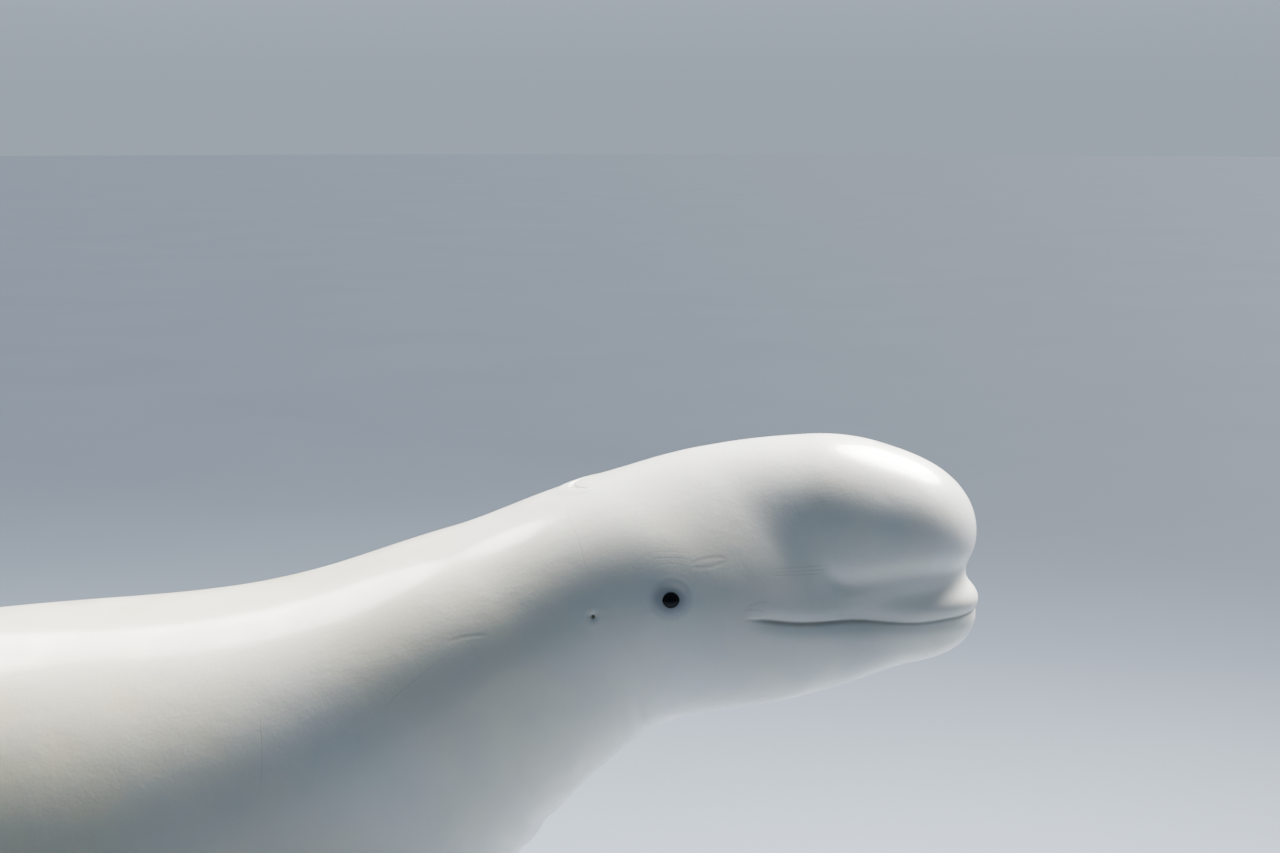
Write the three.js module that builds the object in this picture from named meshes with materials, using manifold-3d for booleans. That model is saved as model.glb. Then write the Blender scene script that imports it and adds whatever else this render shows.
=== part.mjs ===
// A beluga whale, life size, head lifted and tail low, on a plain display stand.
// Millimetres, +Z up, +X towards the snout, origin under the middle of the stand's base.
// The animal is shaped straight and level, and then bent along its spine into its pose.
// In the straight shape a point is [behind, left, up]: its distance behind the tip of the
// upper lip, its distance to the animal's left, and its height over the line of the mouth.
import * as THREE from "three";
import { mergeVertices } from "three/addons/utils/BufferGeometryUtils.js";
import Module from "manifold-3d";

const wasm = await Module();
wasm.setup();

// Driving dimensions
const bodyLength = 3500; // upper lip to the notch between the flukes
const snoutHeight = 1010; // tip of the upper lip over the floor, in the pose
const snoutForward = 1450; // tip of the upper lip ahead of the middle of the base
const gap = 0.3; // between parts that touch

const mouth = { length: 250, slit: 1.6, fadeOver: 120, rearSlope: 50 };
const lips = {
  height: 2.6,
  spacing: 13,
  width: 8,
  grooveDepth: 5,
  grooveWidth: 5,
  pastCorner: 6,
  fadeOver: 30,
};
const eye = { behind: 325, up: 38, radius: 15, sunk: 10 };
const lid = { radius: 13, thickness: 6, sunk: 1.5, scale: [1.12, 0.95, 0.9] };
const ear = { behind: 400, up: 31, radius: 5, depth: 8 };
const blowhole = { behind: 392, halfWidth: 38, bow: 16, slitRadius: 4, lipRadius: 14, lipHeight: 2.2 };
const flipper = {
  behind: 775,
  up: -175,
  length: 430,
  halfRoot: 88,
  thickness: 54,
  curl: 34,
  outward: [0.36, 0.88, -0.24],
  sweep: [0.34, -0.26, 0.04],
  face: [0.1, 0.35, 0.93],
  tipReach: 0.998,
  tipSharpness: 6,
};
const fluke = { up: 22, span: 430, thickness: 58, lift: 18, tipReach: 0.998, tipSharpness: 10 };
const finEdge = 3; // thickness of a fin along its trailing edge
const ridge = { start: 1440, length: 620, halfWidth: 24, height: 20, bumps: 11, wave: 0.18, sunk: 8 };
const base = { length: 2200, width: 780, thickness: 40, corner: 130, bevel: 6 };
const rod = { radius: 32, frontBehind: 1060, rearBehind: 2080 };
const collar = { radius: 78, height: 26, brim: 0.45, shoulder: 0.6, slope: 10, top: 12 };

// Flat outline that parts the melon from the head, from the notch over the upper jaw to the crown
const melonCut = {
  front: -60,
  notch: 46,
  top: 260,
  crest: [[20, 46], [110, 62], [220, 92], [300, 130], [335, 260]],
};

// Lowest and foremost reach of the cut that parts the lower jaw
const jawCut = { front: -60, bottom: -260, spacing: 20 };

// How finely the forms are divided
const detail = {
  rayLength: 460,
  raySteps: 30,
  normalStep: 1,
  mergeWithin: 1e-3,
  headReach: 700,
  headSides: 14,
  headCrowding: 1.6,
  headRings: 14,
  fanRings: 17,
  fanCrowding: 1.3,
  fanFrom: 130,
  bodyCrowding: 1.12,
  finSides: 7,
  finRingCrowding: 1.45,
  spineStep: 5,
  round: 32,
};

// Where the body is parted, as distances behind the snout
const partings = {
  head: 440,
  neck: 640,
  chest: 1080,
  trunk: 1700,
  loin: 2330,
  tailStock: 2900,
  peduncle: 3215,
};

// Pitch of the spine in degrees, nose up, along the body
const pitchStations = [
  { behind: 0, pitch: -1.5 },
  { behind: 260, pitch: 0 },
  { behind: 600, pitch: 24.5 },
  { behind: 720, pitch: 23.5 },
  { behind: 860, pitch: 18 },
  { behind: 1000, pitch: 15 },
  { behind: 1600, pitch: 9 },
  { behind: 2300, pitch: 3 },
  { behind: 2950, pitch: -3 },
  { behind: 3500, pitch: -8 },
];

// Outline of the body: heights of the back, the belly and the widest level, and the half width
const bodyStations = [
  { behind: 200, back: 90, belly: -50, widest: 5, half: 80, fullness: 2 },
  { behind: 320, back: 126, belly: -112, widest: 2, half: 138, fullness: 2 },
  { behind: 430, back: 120, belly: -163, widest: -4, half: 170, fullness: 2 },
  { behind: 530, back: 123, belly: -205, widest: -14, half: 192, fullness: 2 },
  { behind: 660, back: 136, belly: -256, widest: -30, half: 226, fullness: 2 },
  { behind: 830, back: 168, belly: -320, widest: -50, half: 272, fullness: 2 },
  { behind: 1060, back: 211, belly: -372, widest: -66, half: 308, fullness: 2.05 },
  { behind: 1350, back: 244, belly: -394, widest: -72, half: 326, fullness: 2.08 },
  { behind: 1650, back: 255, belly: -380, widest: -66, half: 318, fullness: 2.05 },
  { behind: 1950, back: 242, belly: -340, widest: -52, half: 290, fullness: 2 },
  { behind: 2250, back: 215, belly: -274, widest: -30, half: 238, fullness: 1.95 },
  { behind: 2550, back: 180, belly: -196, widest: -6, half: 172, fullness: 1.88 },
  { behind: 2850, back: 143, belly: -124, widest: 10, half: 108, fullness: 1.8 },
  { behind: 3080, back: 113, belly: -76, widest: 18, half: 66, fullness: 1.75 },
  { behind: 3270, back: 82, belly: -40, widest: 21, half: 44, fullness: 1.8 },
  { behind: 3420, back: 50, belly: -8, widest: 22, half: 34, fullness: 1.9 },
  { behind: 3500, back: 31, belly: 13, widest: 22, half: 22, fullness: 2 },
];

// Line of the mouth, from the lip to its raised corner
const mouthStations = [
  { behind: 0, level: 0 },
  { behind: 36, level: 0 },
  { behind: 74, level: -1.5 },
  { behind: 145, level: 3.5 },
  { behind: 198, level: 5.5 },
  { behind: 250, level: 13.5 },
];

// The head's rounded forms, each melted into those before it over the distance blend
const headForms = [
  { name: "cranium", at: [320, 0, 22], radii: [190, 154, 112], blend: 60 },
  { name: "cheek", at: [250, 50, -20], radii: [150, 84, 74], blend: 45 },
  { name: "lower jaw", at: [118, 0, -22], radii: [111, 82, 42], blend: 40 },
  { name: "upper jaw", at: [110, 0, 6], radii: [112, 89, 50], blend: 22 },
  { name: "crown", at: [240, 0, 62], radii: [120, 100, 104], blend: 50 },
  { name: "melon", at: [165, 0, 77], radii: [154, 108, 102], blend: 20 },
  { name: "melon front", at: [79, 0, 84], radii: [68, 82, 60], blend: 30 },
];

// Smooth curve through one column of a table of stations
function readStations(rows, key, behind) {
  const last = rows.length - 1;
  if (behind <= rows[0].behind) return rows[0][key];
  if (behind >= rows[last].behind) return rows[last][key];
  const i = rows.findIndex((row) => row.behind > behind) - 1;
  const slope = (k) => {
    const a = rows[Math.max(k - 1, 0)];
    const b = rows[Math.min(k + 1, last)];
    return (b[key] - a[key]) / (b.behind - a.behind);
  };
  const width = rows[i + 1].behind - rows[i].behind;
  const t = (behind - rows[i].behind) / width;
  const t2 = t * t;
  const t3 = t2 * t;
  return (
    (2 * t3 - 3 * t2 + 1) * rows[i][key] +
    (t3 - 2 * t2 + t) * width * slope(i) +
    (3 * t2 - 2 * t3) * rows[i + 1][key] +
    (t3 - t2) * width * slope(i + 1)
  );
}

// Smaller of two distances, with the corner between them rounded over the width
function melt(a, b, width) {
  const near = Math.max(width - Math.abs(a - b), 0) / width;
  return Math.min(a, b) - (near * near * width) / 4;
}

const bump = (x) => Math.exp(-x * x);

// Height of the line of the mouth, which fades out behind its corner
function mouthLevel(behind) {
  const fade = 1 - THREE.MathUtils.smoothstep(behind, mouth.length, mouth.length + mouth.fadeOver);
  return fade * readStations(mouthStations, "level", behind);
}

// Distance from one rounded form, below 0 inside it
function formDistance({ at, radii }, behind, left, up) {
  const p = [behind - at[0], Math.abs(left) - at[1], up - at[2]];
  const k0 = Math.hypot(p[0] / radii[0], p[1] / radii[1], p[2] / radii[2]);
  const k1 = Math.hypot(p[0] / radii[0] ** 2, p[1] / radii[1] ** 2, p[2] / radii[2] ** 2);
  return k1 < 1e-9 ? -Math.min(...radii) : (k0 * (k0 - 1)) / k1;
}

// Distance from the body behind the head, below 0 inside it
function bodyDistance(behind, left, up) {
  const read = (key) => readStations(bodyStations, key, behind);
  const widest = read("widest");
  const height = up > widest ? read("back") - widest : widest - read("belly");
  const fullness = read("fullness");
  const reach = Math.hypot(left, up - widest);
  const across = Math.abs(left) / read("half");
  const rise = Math.abs(up - widest) / height;
  const ratio = (across ** fullness + rise ** fullness) ** (1 / fullness);
  const ahead = Math.max(0, bodyStations[0].behind - behind);
  return reach < 1e-6 ? ahead - height : ahead + reach * (1 - 1 / ratio);
}

// How far the lips stand out, with the groove of the mouth between them
function lipRelief(behind, up) {
  const off = up - mouthLevel(behind);
  const fade = THREE.MathUtils.smoothstep(mouth.length + lips.pastCorner - behind, 0, lips.fadeOver);
  const stand = bump((Math.abs(off) - lips.spacing) / lips.width) * lips.height;
  return fade * (stand - bump(off / lips.grooveWidth) * lips.grooveDepth);
}

// Distance from the animal's skin without its fins, below 0 inside it
function skinDistance(behind, left, up) {
  let distance = bodyDistance(behind, left, up);
  if (behind > detail.headReach) return distance;
  for (const form of headForms) {
    distance = melt(distance, formDistance(form, behind, left, up), form.blend);
  }
  return distance - lipRelief(behind, up);
}

// Point where a ray from inside the animal leaves its skin, or the skin grown by a distance
function skinPoint(from, along, grow = 0) {
  let inside = 0;
  let outside = detail.rayLength;
  const at = (reach) => {
    const behind = from[0] + along[0] * reach;
    const up = from[2] + along[2] * reach + mouthLevel(behind);
    return [behind, from[1] + along[1] * reach, up];
  };
  for (let step = 0; step < detail.raySteps; step++) {
    const middle = (inside + outside) / 2;
    if (skinDistance(...at(middle)) < grow) inside = middle;
    else outside = middle;
  }
  return at(inside);
}

// Direction in which the skin faces at a point
function skinNormal([behind, left, up]) {
  const step = detail.normalStep;
  return new THREE.Vector3(
    skinDistance(behind + step, left, up) - skinDistance(behind - step, left, up),
    skinDistance(behind, left + step, up) - skinDistance(behind, left - step, up),
    skinDistance(behind, left, up + step) - skinDistance(behind, left, up - step),
  ).normalize();
}

// Solids

// A closed solid from a list of points and a list of triangles
function solidOf(points, triangles) {
  const mesh = new wasm.Mesh({
    numProp: 3,
    vertProperties: new Float32Array(points.flat()),
    triVerts: new Uint32Array(triangles.flat()),
  });
  const solid = new wasm.Manifold(mesh);
  return solid.volume() < 0 ? solidOf(points, triangles.map(([a, b, c]) => [a, c, b])) : solid;
}

// A closed solid through rings of points, its ends closed to a middle point each
function loft(rings, startPoint, endPoint) {
  const around = rings[0].length;
  const points = [...rings.flat(), startPoint, endPoint];
  const start = points.length - 2;
  const triangles = [];
  const lastRing = (rings.length - 1) * around;
  for (let k = 0; k < around; k++) {
    const next = (k + 1) % around;
    triangles.push([start, next, k], [start + 1, lastRing + k, lastRing + next]);
    for (let ring = 0; ring + 1 < rings.length; ring++) {
      const a = ring * around;
      const b = a + around;
      triangles.push([a + k, a + next, b + next], [a + k, b + next, b + k]);
    }
  }
  return solidOf(points, triangles);
}

// A closed solid from a three.js geometry
function solidOfGeometry(geometry) {
  const bare = geometry.index ? geometry.toNonIndexed() : geometry.clone();
  bare.deleteAttribute("normal");
  bare.deleteAttribute("uv");
  const merged = mergeVertices(bare, detail.mergeWithin);
  return new wasm.Manifold(
    new wasm.Mesh({
      numProp: 3,
      vertProperties: merged.attributes.position.array,
      triVerts: new Uint32Array(merged.index.array),
    }),
  );
}

// Largest closed surface of a solid, which drops scraps of a cut
function largest(solid) {
  const bodies = solid.decompose();
  return bodies.reduce((best, body) => (body.volume() > best.volume() ? body : best));
}

// Angles of the points round a section, closer together at the level of the mouth
function anglesAround(perSide, crowding) {
  const side = [];
  for (let k = -perSide; k < perSide; k++) {
    const share = k / perSide;
    side.push((Math.PI / 2) * share * Math.abs(share) ** (crowding - 1));
  }
  return [...side, ...side.map((angle) => angle + Math.PI)];
}

// Ring of skin points round the body at one distance behind the snout
function sectionRing(behind, angles, grow) {
  const level = behind < partings.head ? 0 : readStations(bodyStations, "widest", behind);
  return angles.map((angle) => skinPoint([behind, 0, level], [0, -Math.cos(angle), Math.sin(angle)], grow));
}

// Rings of skin points that fan round the front of the head
function frontRings(fanFrom, count, angles, grow) {
  const rings = [];
  for (let i = 1; i < count; i++) {
    const lean = (Math.PI / 2) * (i / count) ** detail.fanCrowding;
    rings.push(
      angles.map((angle) => {
        const spread = Math.sin(lean);
        const along = [-Math.cos(lean), -spread * Math.cos(angle), spread * Math.sin(angle)];
        return skinPoint([fanFrom, 0, 0], along, grow);
      }),
    );
  }
  return rings;
}

// Length of body between two partings
function bodyPiece(from, to, spacing, perSide, grow = 0) {
  const angles = anglesAround(perSide, detail.bodyCrowding);
  const start = from + gap / 2 - grow;
  const end = to - gap / 2 + grow;
  const count = Math.max(2, Math.round((end - start) / spacing));
  const rings = [];
  for (let i = 0; i <= count; i++) rings.push(sectionRing(start + ((end - start) * i) / count, angles, grow));
  const middle = (behind) => [behind, 0, readStations(bodyStations, "widest", behind)];
  return loft(rings, middle(start), middle(end));
}

// Head up to its parting, before the mouth, eyes, ears and blowhole are made
function headBlank(grow = 0) {
  const angles = anglesAround(detail.headSides, detail.headCrowding);
  const { fanFrom, headRings: count } = detail;
  const end = partings.head - gap / 2 + grow;
  const rings = frontRings(fanFrom, detail.fanRings, angles, grow);
  for (let i = 0; i <= count; i++) {
    rings.push(sectionRing(fanFrom + ((end - fanFrom) * i) / count, angles, grow));
  }
  return loft(rings, skinPoint([fanFrom, 0, 0], [-1, 0, 0], grow), [end, 0, 0]);
}

// Frame of the skin at a point: a matrix whose third axis is the way the skin faces
function skinFrame(point) {
  const out = skinNormal(point);
  const up = new THREE.Vector3(0, 0, 1).addScaledVector(out, -out.z).normalize();
  const along = new THREE.Vector3().crossVectors(up, out);
  return new THREE.Matrix4().makeBasis(along, up, out).setPosition(...point);
}

// Point on the skin of one side, at a distance behind the snout and a height
function sidePoint(behind, up, side) {
  return skinPoint([behind, 0, up - mouthLevel(behind)], [0, side, 0]);
}

// Point on the crown, at a distance behind the snout and to the left
function crownPoint(behind, left) {
  return skinPoint([behind, left, 0], [0, 0, 1]);
}

// Eyeball, its socket and the rim of its lids, on one side
function eyeParts(side) {
  const point = sidePoint(eye.behind, eye.up, side);
  const frame = skinFrame(point);
  const ball = (radius) => {
    const sphere = new THREE.SphereGeometry(radius, 18, 10).translate(0, 0, -eye.sunk);
    return solidOfGeometry(sphere.applyMatrix4(frame));
  };
  const rim = new THREE.TorusGeometry(lid.radius, lid.thickness, 8, 20);
  rim.scale(...lid.scale).translate(0, 0, -lid.sunk).applyMatrix4(frame);
  return { ball: ball(eye.radius), socket: ball(eye.radius + gap), rim: solidOfGeometry(rim) };
}

// Pit of the ear on one side
function earPit(side) {
  const pit = new THREE.SphereGeometry(ear.radius, 12, 8).scale(1, 1, ear.depth / ear.radius);
  return solidOfGeometry(pit.applyMatrix4(skinFrame(sidePoint(ear.behind, ear.up, side))));
}

// Crescent on the crown, its horns forward and thin, for the slit and lip of the blowhole.
// It ends just short of its points, where it would have no thickness.
function crescent(radius, reach, sink) {
  const rings = [];
  const steps = 7;
  const sides = 8;
  const ends = 0.98;
  for (let k = -steps; k <= steps; k++) {
    const share = (ends * k) / steps;
    const left = share * blowhole.halfWidth * reach;
    const thick = radius * Math.sqrt(1 - share * share);
    const middle = crownPoint(blowhole.behind + blowhole.bow * (1 - share * share), left);
    const ring = [];
    for (let n = 0; n < sides; n++) {
      const turn = (2 * Math.PI * n) / sides;
      ring.push([middle[0] + thick * Math.cos(turn), left, middle[2] - sink + thick * Math.sin(turn)]);
    }
    rings.push(ring);
  }
  return loft(rings, centreOf(rings[0]), centreOf(rings[rings.length - 1]));
}

// Flat outline, in the plane of the animal's symmetry, as a solid right through the head
function sideCutter(outline) {
  const shape = new THREE.Shape(outline.map(([behind, up]) => new THREE.Vector2(behind, up)));
  const depth = bodyLength / 5;
  const geometry = new THREE.ExtrudeGeometry(shape, { depth, bevelEnabled: false });
  return solidOfGeometry(geometry.translate(0, 0, -depth / 2).rotateX(Math.PI / 2));
}

// Space of the lower jaw, with its upper face dropped and its rear face moved forward
function jawSpace(drop, forward) {
  const top = [];
  const corner = mouth.length - forward;
  for (let behind = jawCut.front; behind < corner - jawCut.spacing / 2; behind += jawCut.spacing) {
    top.push([behind, mouthLevel(behind) - drop]);
  }
  top.push([corner, mouthLevel(corner) - drop]);
  return sideCutter([...top, [corner + mouth.rearSlope, jawCut.bottom], [jawCut.front, jawCut.bottom]]);
}

// Space of the melon, over a line that rises from the notch above the upper jaw to the crown
function melonSpace(inset) {
  const crest = melonCut.crest.map(([behind, up]) => [behind - inset, up + inset]);
  return sideCutter([[melonCut.front, melonCut.notch + inset], ...crest, [melonCut.front, melonCut.top]]);
}

function makeHead() {
  const sides = { right: eyeParts(-1), left: eyeParts(1) };
  let flesh = headBlank();
  for (const { rim } of Object.values(sides)) flesh = flesh.add(rim);
  const lipReach = 1.12;
  flesh = flesh.add(crescent(blowhole.lipRadius, lipReach, blowhole.lipRadius - blowhole.lipHeight));
  const openings = [sides.right.socket, sides.left.socket, earPit(-1), earPit(1)];
  openings.push(crescent(blowhole.slitRadius, 1, -blowhole.lipHeight));
  for (const opening of openings) flesh = flesh.subtract(opening);
  return {
    head: largest(flesh.subtract(jawSpace(-mouth.slit / 2, -gap)).subtract(melonSpace(-gap))),
    lower_jaw: largest(flesh.intersect(jawSpace(mouth.slit / 2, 0))),
    melon: largest(flesh.intersect(melonSpace(0))),
    eye_right: sides.right.ball,
    eye_left: sides.left.ball,
  };
}

// Section of a fin, as a share of its chord and a rise: rounded in front, thin and square behind
function finSection(thickness) {
  const section = [];
  const count = detail.finSides;
  const roundedOff = 0.04;
  for (let k = 0; k < 2 * count; k++) {
    const upper = k < count;
    const share = upper ? k / count : 2 - k / count;
    const chord = (1 - Math.cos(Math.PI * share)) / 2;
    const foil = 1.48 * Math.sqrt(chord) - 0.63 * chord - 0.85 * chord ** 2;
    const half = Math.max(finEdge / 2, thickness * foil);
    const round = Math.min(1, Math.sqrt(Math.max(0, 1 - chord) / roundedOff));
    section.push([chord, (upper ? 1 : -1) * half * (share === 0 || share === 1 ? 0 : round)]);
  }
  return section;
}

// Middle and half width of a flipper along its length, in half widths of its root
const flipperOutline = [
  { behind: -0.3, middle: 0.2, half: 1.1, thickness: 1.6 },
  { behind: -0.08, middle: 0.09, half: 1.05, thickness: 1.25 },
  { behind: 0.06, middle: 0.03, half: 0.98, thickness: 1 },
  { behind: 0.25, middle: 0.06, half: 1.08, thickness: 0.84 },
  { behind: 0.5, middle: 0.17, half: 1.22, thickness: 0.66 },
  { behind: 0.75, middle: 0.27, half: 1.23, thickness: 0.5 },
  { behind: 1, middle: 0.5, half: 1.2, thickness: 0.42 },
];

// Share of a fin's full width that is left near its tip, which it rounds off
const tipShare = (share, sharpness) => Math.sqrt(1 - Math.max(0, share) ** sharpness);

// Shares of a fin's length for its rings, closer together towards the tip
function finShares(from, count) {
  const shareAt = (i) => from + (1 - from) * (1 - (1 - i / count) ** detail.finRingCrowding);
  return Array.from({ length: count + 1 }, (_, i) => shareAt(i));
}

// Flipper of one side: its middle line leaves the body sideways and then sweeps back
function flipperSolid(side) {
  const toSide = ([behind, left, up]) => new THREE.Vector3(behind, side * left, up);
  const outward = toSide(flipper.outward);
  const sweep = toSide(flipper.sweep);
  const root = new THREE.Vector3(...sidePoint(flipper.behind, flipper.up, side));
  const ringAt = (share) => {
    const read = (key) => readStations(flipperOutline, key, share);
    const narrow = tipShare(share * flipper.tipReach, flipper.tipSharpness);
    const along = outward.clone().addScaledVector(sweep, 2 * share).normalize();
    const face = toSide(flipper.face);
    face.addScaledVector(along, -face.dot(along)).normalize();
    const back = new THREE.Vector3().crossVectors(along, face).multiplyScalar(side);
    const middle = root
      .clone()
      .addScaledVector(outward, share * flipper.length)
      .addScaledVector(sweep, share * Math.abs(share) * flipper.length)
      .addScaledVector(face, flipper.curl * Math.max(0, share) ** 3)
      .addScaledVector(back, read("middle") * flipper.halfRoot);
    const half = read("half") * flipper.halfRoot * narrow;
    const place = ([chord, rise]) =>
      middle
        .clone()
        .addScaledVector(back, half * (2 * chord - 1))
        .addScaledVector(face, rise)
        .toArray();
    return finSection(read("thickness") * flipper.thickness * narrow).map(place);
  };
  const rings = finShares(-0.3, 13).map(ringAt);
  return loft(rings, centreOf(rings[0]), centreOf(rings[rings.length - 1]));
}

function centreOf(ring) {
  return [0, 1, 2].map((axis) => ring.reduce((sum, point) => sum + point[axis], 0) / ring.length);
}

// Distance of a fluke's middle behind the snout, and its half width, from the midline to the tip
const flukeOutline = [
  { behind: 0, middle: 3348, half: 142, thickness: 1 },
  { behind: 0.08, middle: 3374, half: 153, thickness: 0.95 },
  { behind: 0.25, middle: 3416, half: 154, thickness: 0.78 },
  { behind: 0.5, middle: 3466, half: 123, thickness: 0.54 },
  { behind: 0.75, middle: 3511, half: 80, thickness: 0.36 },
  { behind: 1, middle: 3566, half: 42, thickness: 0.24 },
];

// Fluke of one side
function flukeSolid(side) {
  const ringAt = (share) => {
    const read = (key) => readStations(flukeOutline, key, share);
    const narrow = tipShare(share * fluke.tipReach, fluke.tipSharpness);
    const lift = fluke.lift * share * share;
    return finSection(read("thickness") * fluke.thickness * narrow).map(([chord, rise]) => [
      read("middle") + read("half") * narrow * (2 * chord - 1),
      side * share * fluke.span,
      fluke.up + rise + lift,
    ]);
  };
  const rings = finShares(0.02, 12).map(ringAt);
  return loft(rings, centreOf(rings[0]), centreOf(rings[rings.length - 1]));
}

// Low ridge of small bumps along the back, in place of a fin
function ridgeSolid() {
  const rings = [];
  const perBump = 3;
  const count = ridge.bumps * perBump;
  const lowest = 1.5;
  const endWidth = 0.35;
  const shoulder = { left: 0.45, height: 0.7 };
  for (let i = 0; i <= count; i++) {
    const share = i / count;
    const behind = ridge.start + ridge.length * share;
    const arch = Math.abs(Math.sin(Math.PI * share)) ** 0.6;
    const wave = 1 - ridge.wave * (1 + Math.cos(2 * Math.PI * ridge.bumps * share));
    const height = Math.max(lowest, ridge.height * arch * wave);
    const half = ridge.halfWidth * (endWidth + (1 - endWidth) * arch);
    const top = readStations(bodyStations, "back", behind);
    rings.push([
      [behind, -half, top - ridge.sunk],
      [behind, -half * shoulder.left, top + height * shoulder.height],
      [behind, 0, top + height],
      [behind, half * shoulder.left, top + height * shoulder.height],
      [behind, half, top - ridge.sunk],
    ]);
  }
  return loft(rings, centreOf(rings[0]), centreOf(rings[count]));
}

// The pose

// Places on the bent spine, found by walking back from the snout
const spine = (() => {
  const step = detail.spineStep;
  const places = [];
  const start = -100;
  const end = bodyLength + 200;
  let forward = snoutForward;
  let height = snoutHeight;
  const pitchAt = (behind) => THREE.MathUtils.degToRad(readStations(pitchStations, "pitch", behind));
  forward -= start * Math.cos(pitchAt(start));
  height -= start * Math.sin(pitchAt(start));
  for (let behind = start; behind < end; behind += step) {
    places.push({ forward, height });
    const pitch = pitchAt(behind + step / 2);
    forward -= step * Math.cos(pitch);
    height -= step * Math.sin(pitch);
  }
  return { start, step, places, pitchAt };
})();

// Straight point carried to its place in the pose
function posed([behind, left, up]) {
  const along = (behind - spine.start) / spine.step;
  const index = Math.min(spine.places.length - 2, Math.max(0, Math.floor(along)));
  const a = spine.places[index];
  const b = spine.places[index + 1];
  const t = along - index;
  const pitch = spine.pitchAt(behind);
  return [
    a.forward + (b.forward - a.forward) * t - up * Math.sin(pitch),
    left,
    a.height + (b.height - a.height) * t + up * Math.cos(pitch),
  ];
}

// Straight solid carried into the pose, mirrored first because it was measured backwards
const bend = (solid) =>
  solid.mirror([1, 0, 0]).warp((point) => {
    [point[0], point[1], point[2]] = posed([-point[0], point[1], point[2]]);
  });

// The stand

function standBase() {
  const halfLength = base.length / 2 - base.corner - base.bevel;
  const halfWidth = base.width / 2 - base.corner - base.bevel;
  const outline = new THREE.Shape();
  outline.absarc(halfLength, halfWidth, base.corner, 0, Math.PI / 2);
  outline.absarc(-halfLength, halfWidth, base.corner, Math.PI / 2, Math.PI);
  outline.absarc(-halfLength, -halfWidth, base.corner, Math.PI, 1.5 * Math.PI);
  outline.absarc(halfLength, -halfWidth, base.corner, 1.5 * Math.PI, 2 * Math.PI);
  const geometry = new THREE.ExtrudeGeometry(outline, {
    depth: base.thickness - 2 * base.bevel,
    curveSegments: 7,
    bevelSize: base.bevel,
    bevelThickness: base.bevel,
    bevelSegments: 1,
  });
  return solidOfGeometry(geometry.translate(0, 0, base.bevel));
}

// Collar where a rod stands on the base
function standCollar(forward) {
  const inner = rod.radius + gap;
  const profile = [
    [inner, 0],
    [collar.radius, 0],
    [collar.radius, collar.height * collar.brim],
    [collar.radius - collar.slope, collar.height * collar.shoulder],
    [rod.radius + collar.top, collar.height],
    [inner, collar.height],
    [inner, 0],
  ].map(([radius, height]) => new THREE.Vector2(radius, height));
  const geometry = new THREE.LatheGeometry(profile, detail.round).rotateX(Math.PI / 2);
  return solidOfGeometry(geometry.translate(forward, 0, base.thickness + gap));
}

// Rod from the base up to the belly, cut to the belly's own shape
function standRod(forward, belly) {
  const height = snoutHeight - base.thickness;
  const blank = new THREE.CylinderGeometry(rod.radius, rod.radius, height, detail.round).rotateX(Math.PI / 2);
  blank.translate(forward, 0, base.thickness + gap + height / 2);
  const pieces = solidOfGeometry(blank).subtract(belly).decompose();
  return pieces.find((piece) => piece.boundingBox().min[2] < base.thickness + 1);
}

// The parts

// Name, start, end, spacing of its rings and sides in a quarter turn of each length of the body
const lengths = [
  ["neck", partings.head, partings.neck, 34, 13],
  ["chest", partings.neck, partings.chest, 56, 12],
  ["trunk", partings.chest, partings.trunk, 70, 12],
  ["loin", partings.trunk, partings.loin, 70, 11],
  ["tail_stock", partings.loin, partings.tailStock, 64, 10],
  ["peduncle", partings.tailStock, partings.peduncle, 45, 9],
  ["fluke_root", partings.peduncle, bodyLength, 40, 8],
];

const straight = makeHead();
for (const [name, ...sizes] of lengths) straight[name] = bodyPiece(...sizes);

// Length of the body grown by the gap, to cut what meets it
function grown(wanted) {
  const [, ...sizes] = lengths.find(([name]) => name === wanted);
  return bodyPiece(...sizes, gap);
}

// Solid trimmed clear of lengths of the body
const trimmed = (solid, names) => largest(names.reduce((rest, name) => rest.subtract(grown(name)), solid));

for (const [name, side] of [["right", -1], ["left", 1]]) {
  straight["flipper_" + name] = trimmed(flipperSolid(side), ["neck", "chest", "trunk"]);
  straight["fluke_" + name] = trimmed(flukeSolid(side), ["peduncle", "fluke_root"]);
}
straight.dorsal_ridge = trimmed(ridgeSolid(), ["trunk", "loin"]);

const parts = {};
for (const [name, solid] of Object.entries(straight)) parts[name] = bend(solid);
parts.stand_base = standBase();
const belly = bend(grown("chest")).add(bend(grown("trunk"))).add(bend(grown("loin")));
for (const [name, behind] of [["front", rod.frontBehind], ["rear", rod.rearBehind]]) {
  const [forward] = posed([behind, 0, readStations(bodyStations, "belly", behind)]);
  parts["stand_rod_" + name] = standRod(forward, belly);
  parts["stand_collar_" + name] = standCollar(forward);
}

const skinFinish = { color: 0xe6e5dc, roughness: 0.42, metalness: 0 };
const finishes = {
  skin: new THREE.MeshStandardMaterial(skinFinish),
  eye: new THREE.MeshStandardMaterial({ color: 0x0b0a0c, roughness: 0.08, metalness: 0 }),
  stand_metal: new THREE.MeshStandardMaterial({ color: 0x8b8f93, roughness: 0.35, metalness: 1 }),
  stand_board: new THREE.MeshStandardMaterial({ color: 0x2b2d30, roughness: 0.55, metalness: 0 }),
};

function finishOf(name) {
  if (name.startsWith("eye")) return finishes.eye;
  if (name === "stand_base") return finishes.stand_board;
  return name.startsWith("stand") ? finishes.stand_metal : finishes.skin;
}

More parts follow.
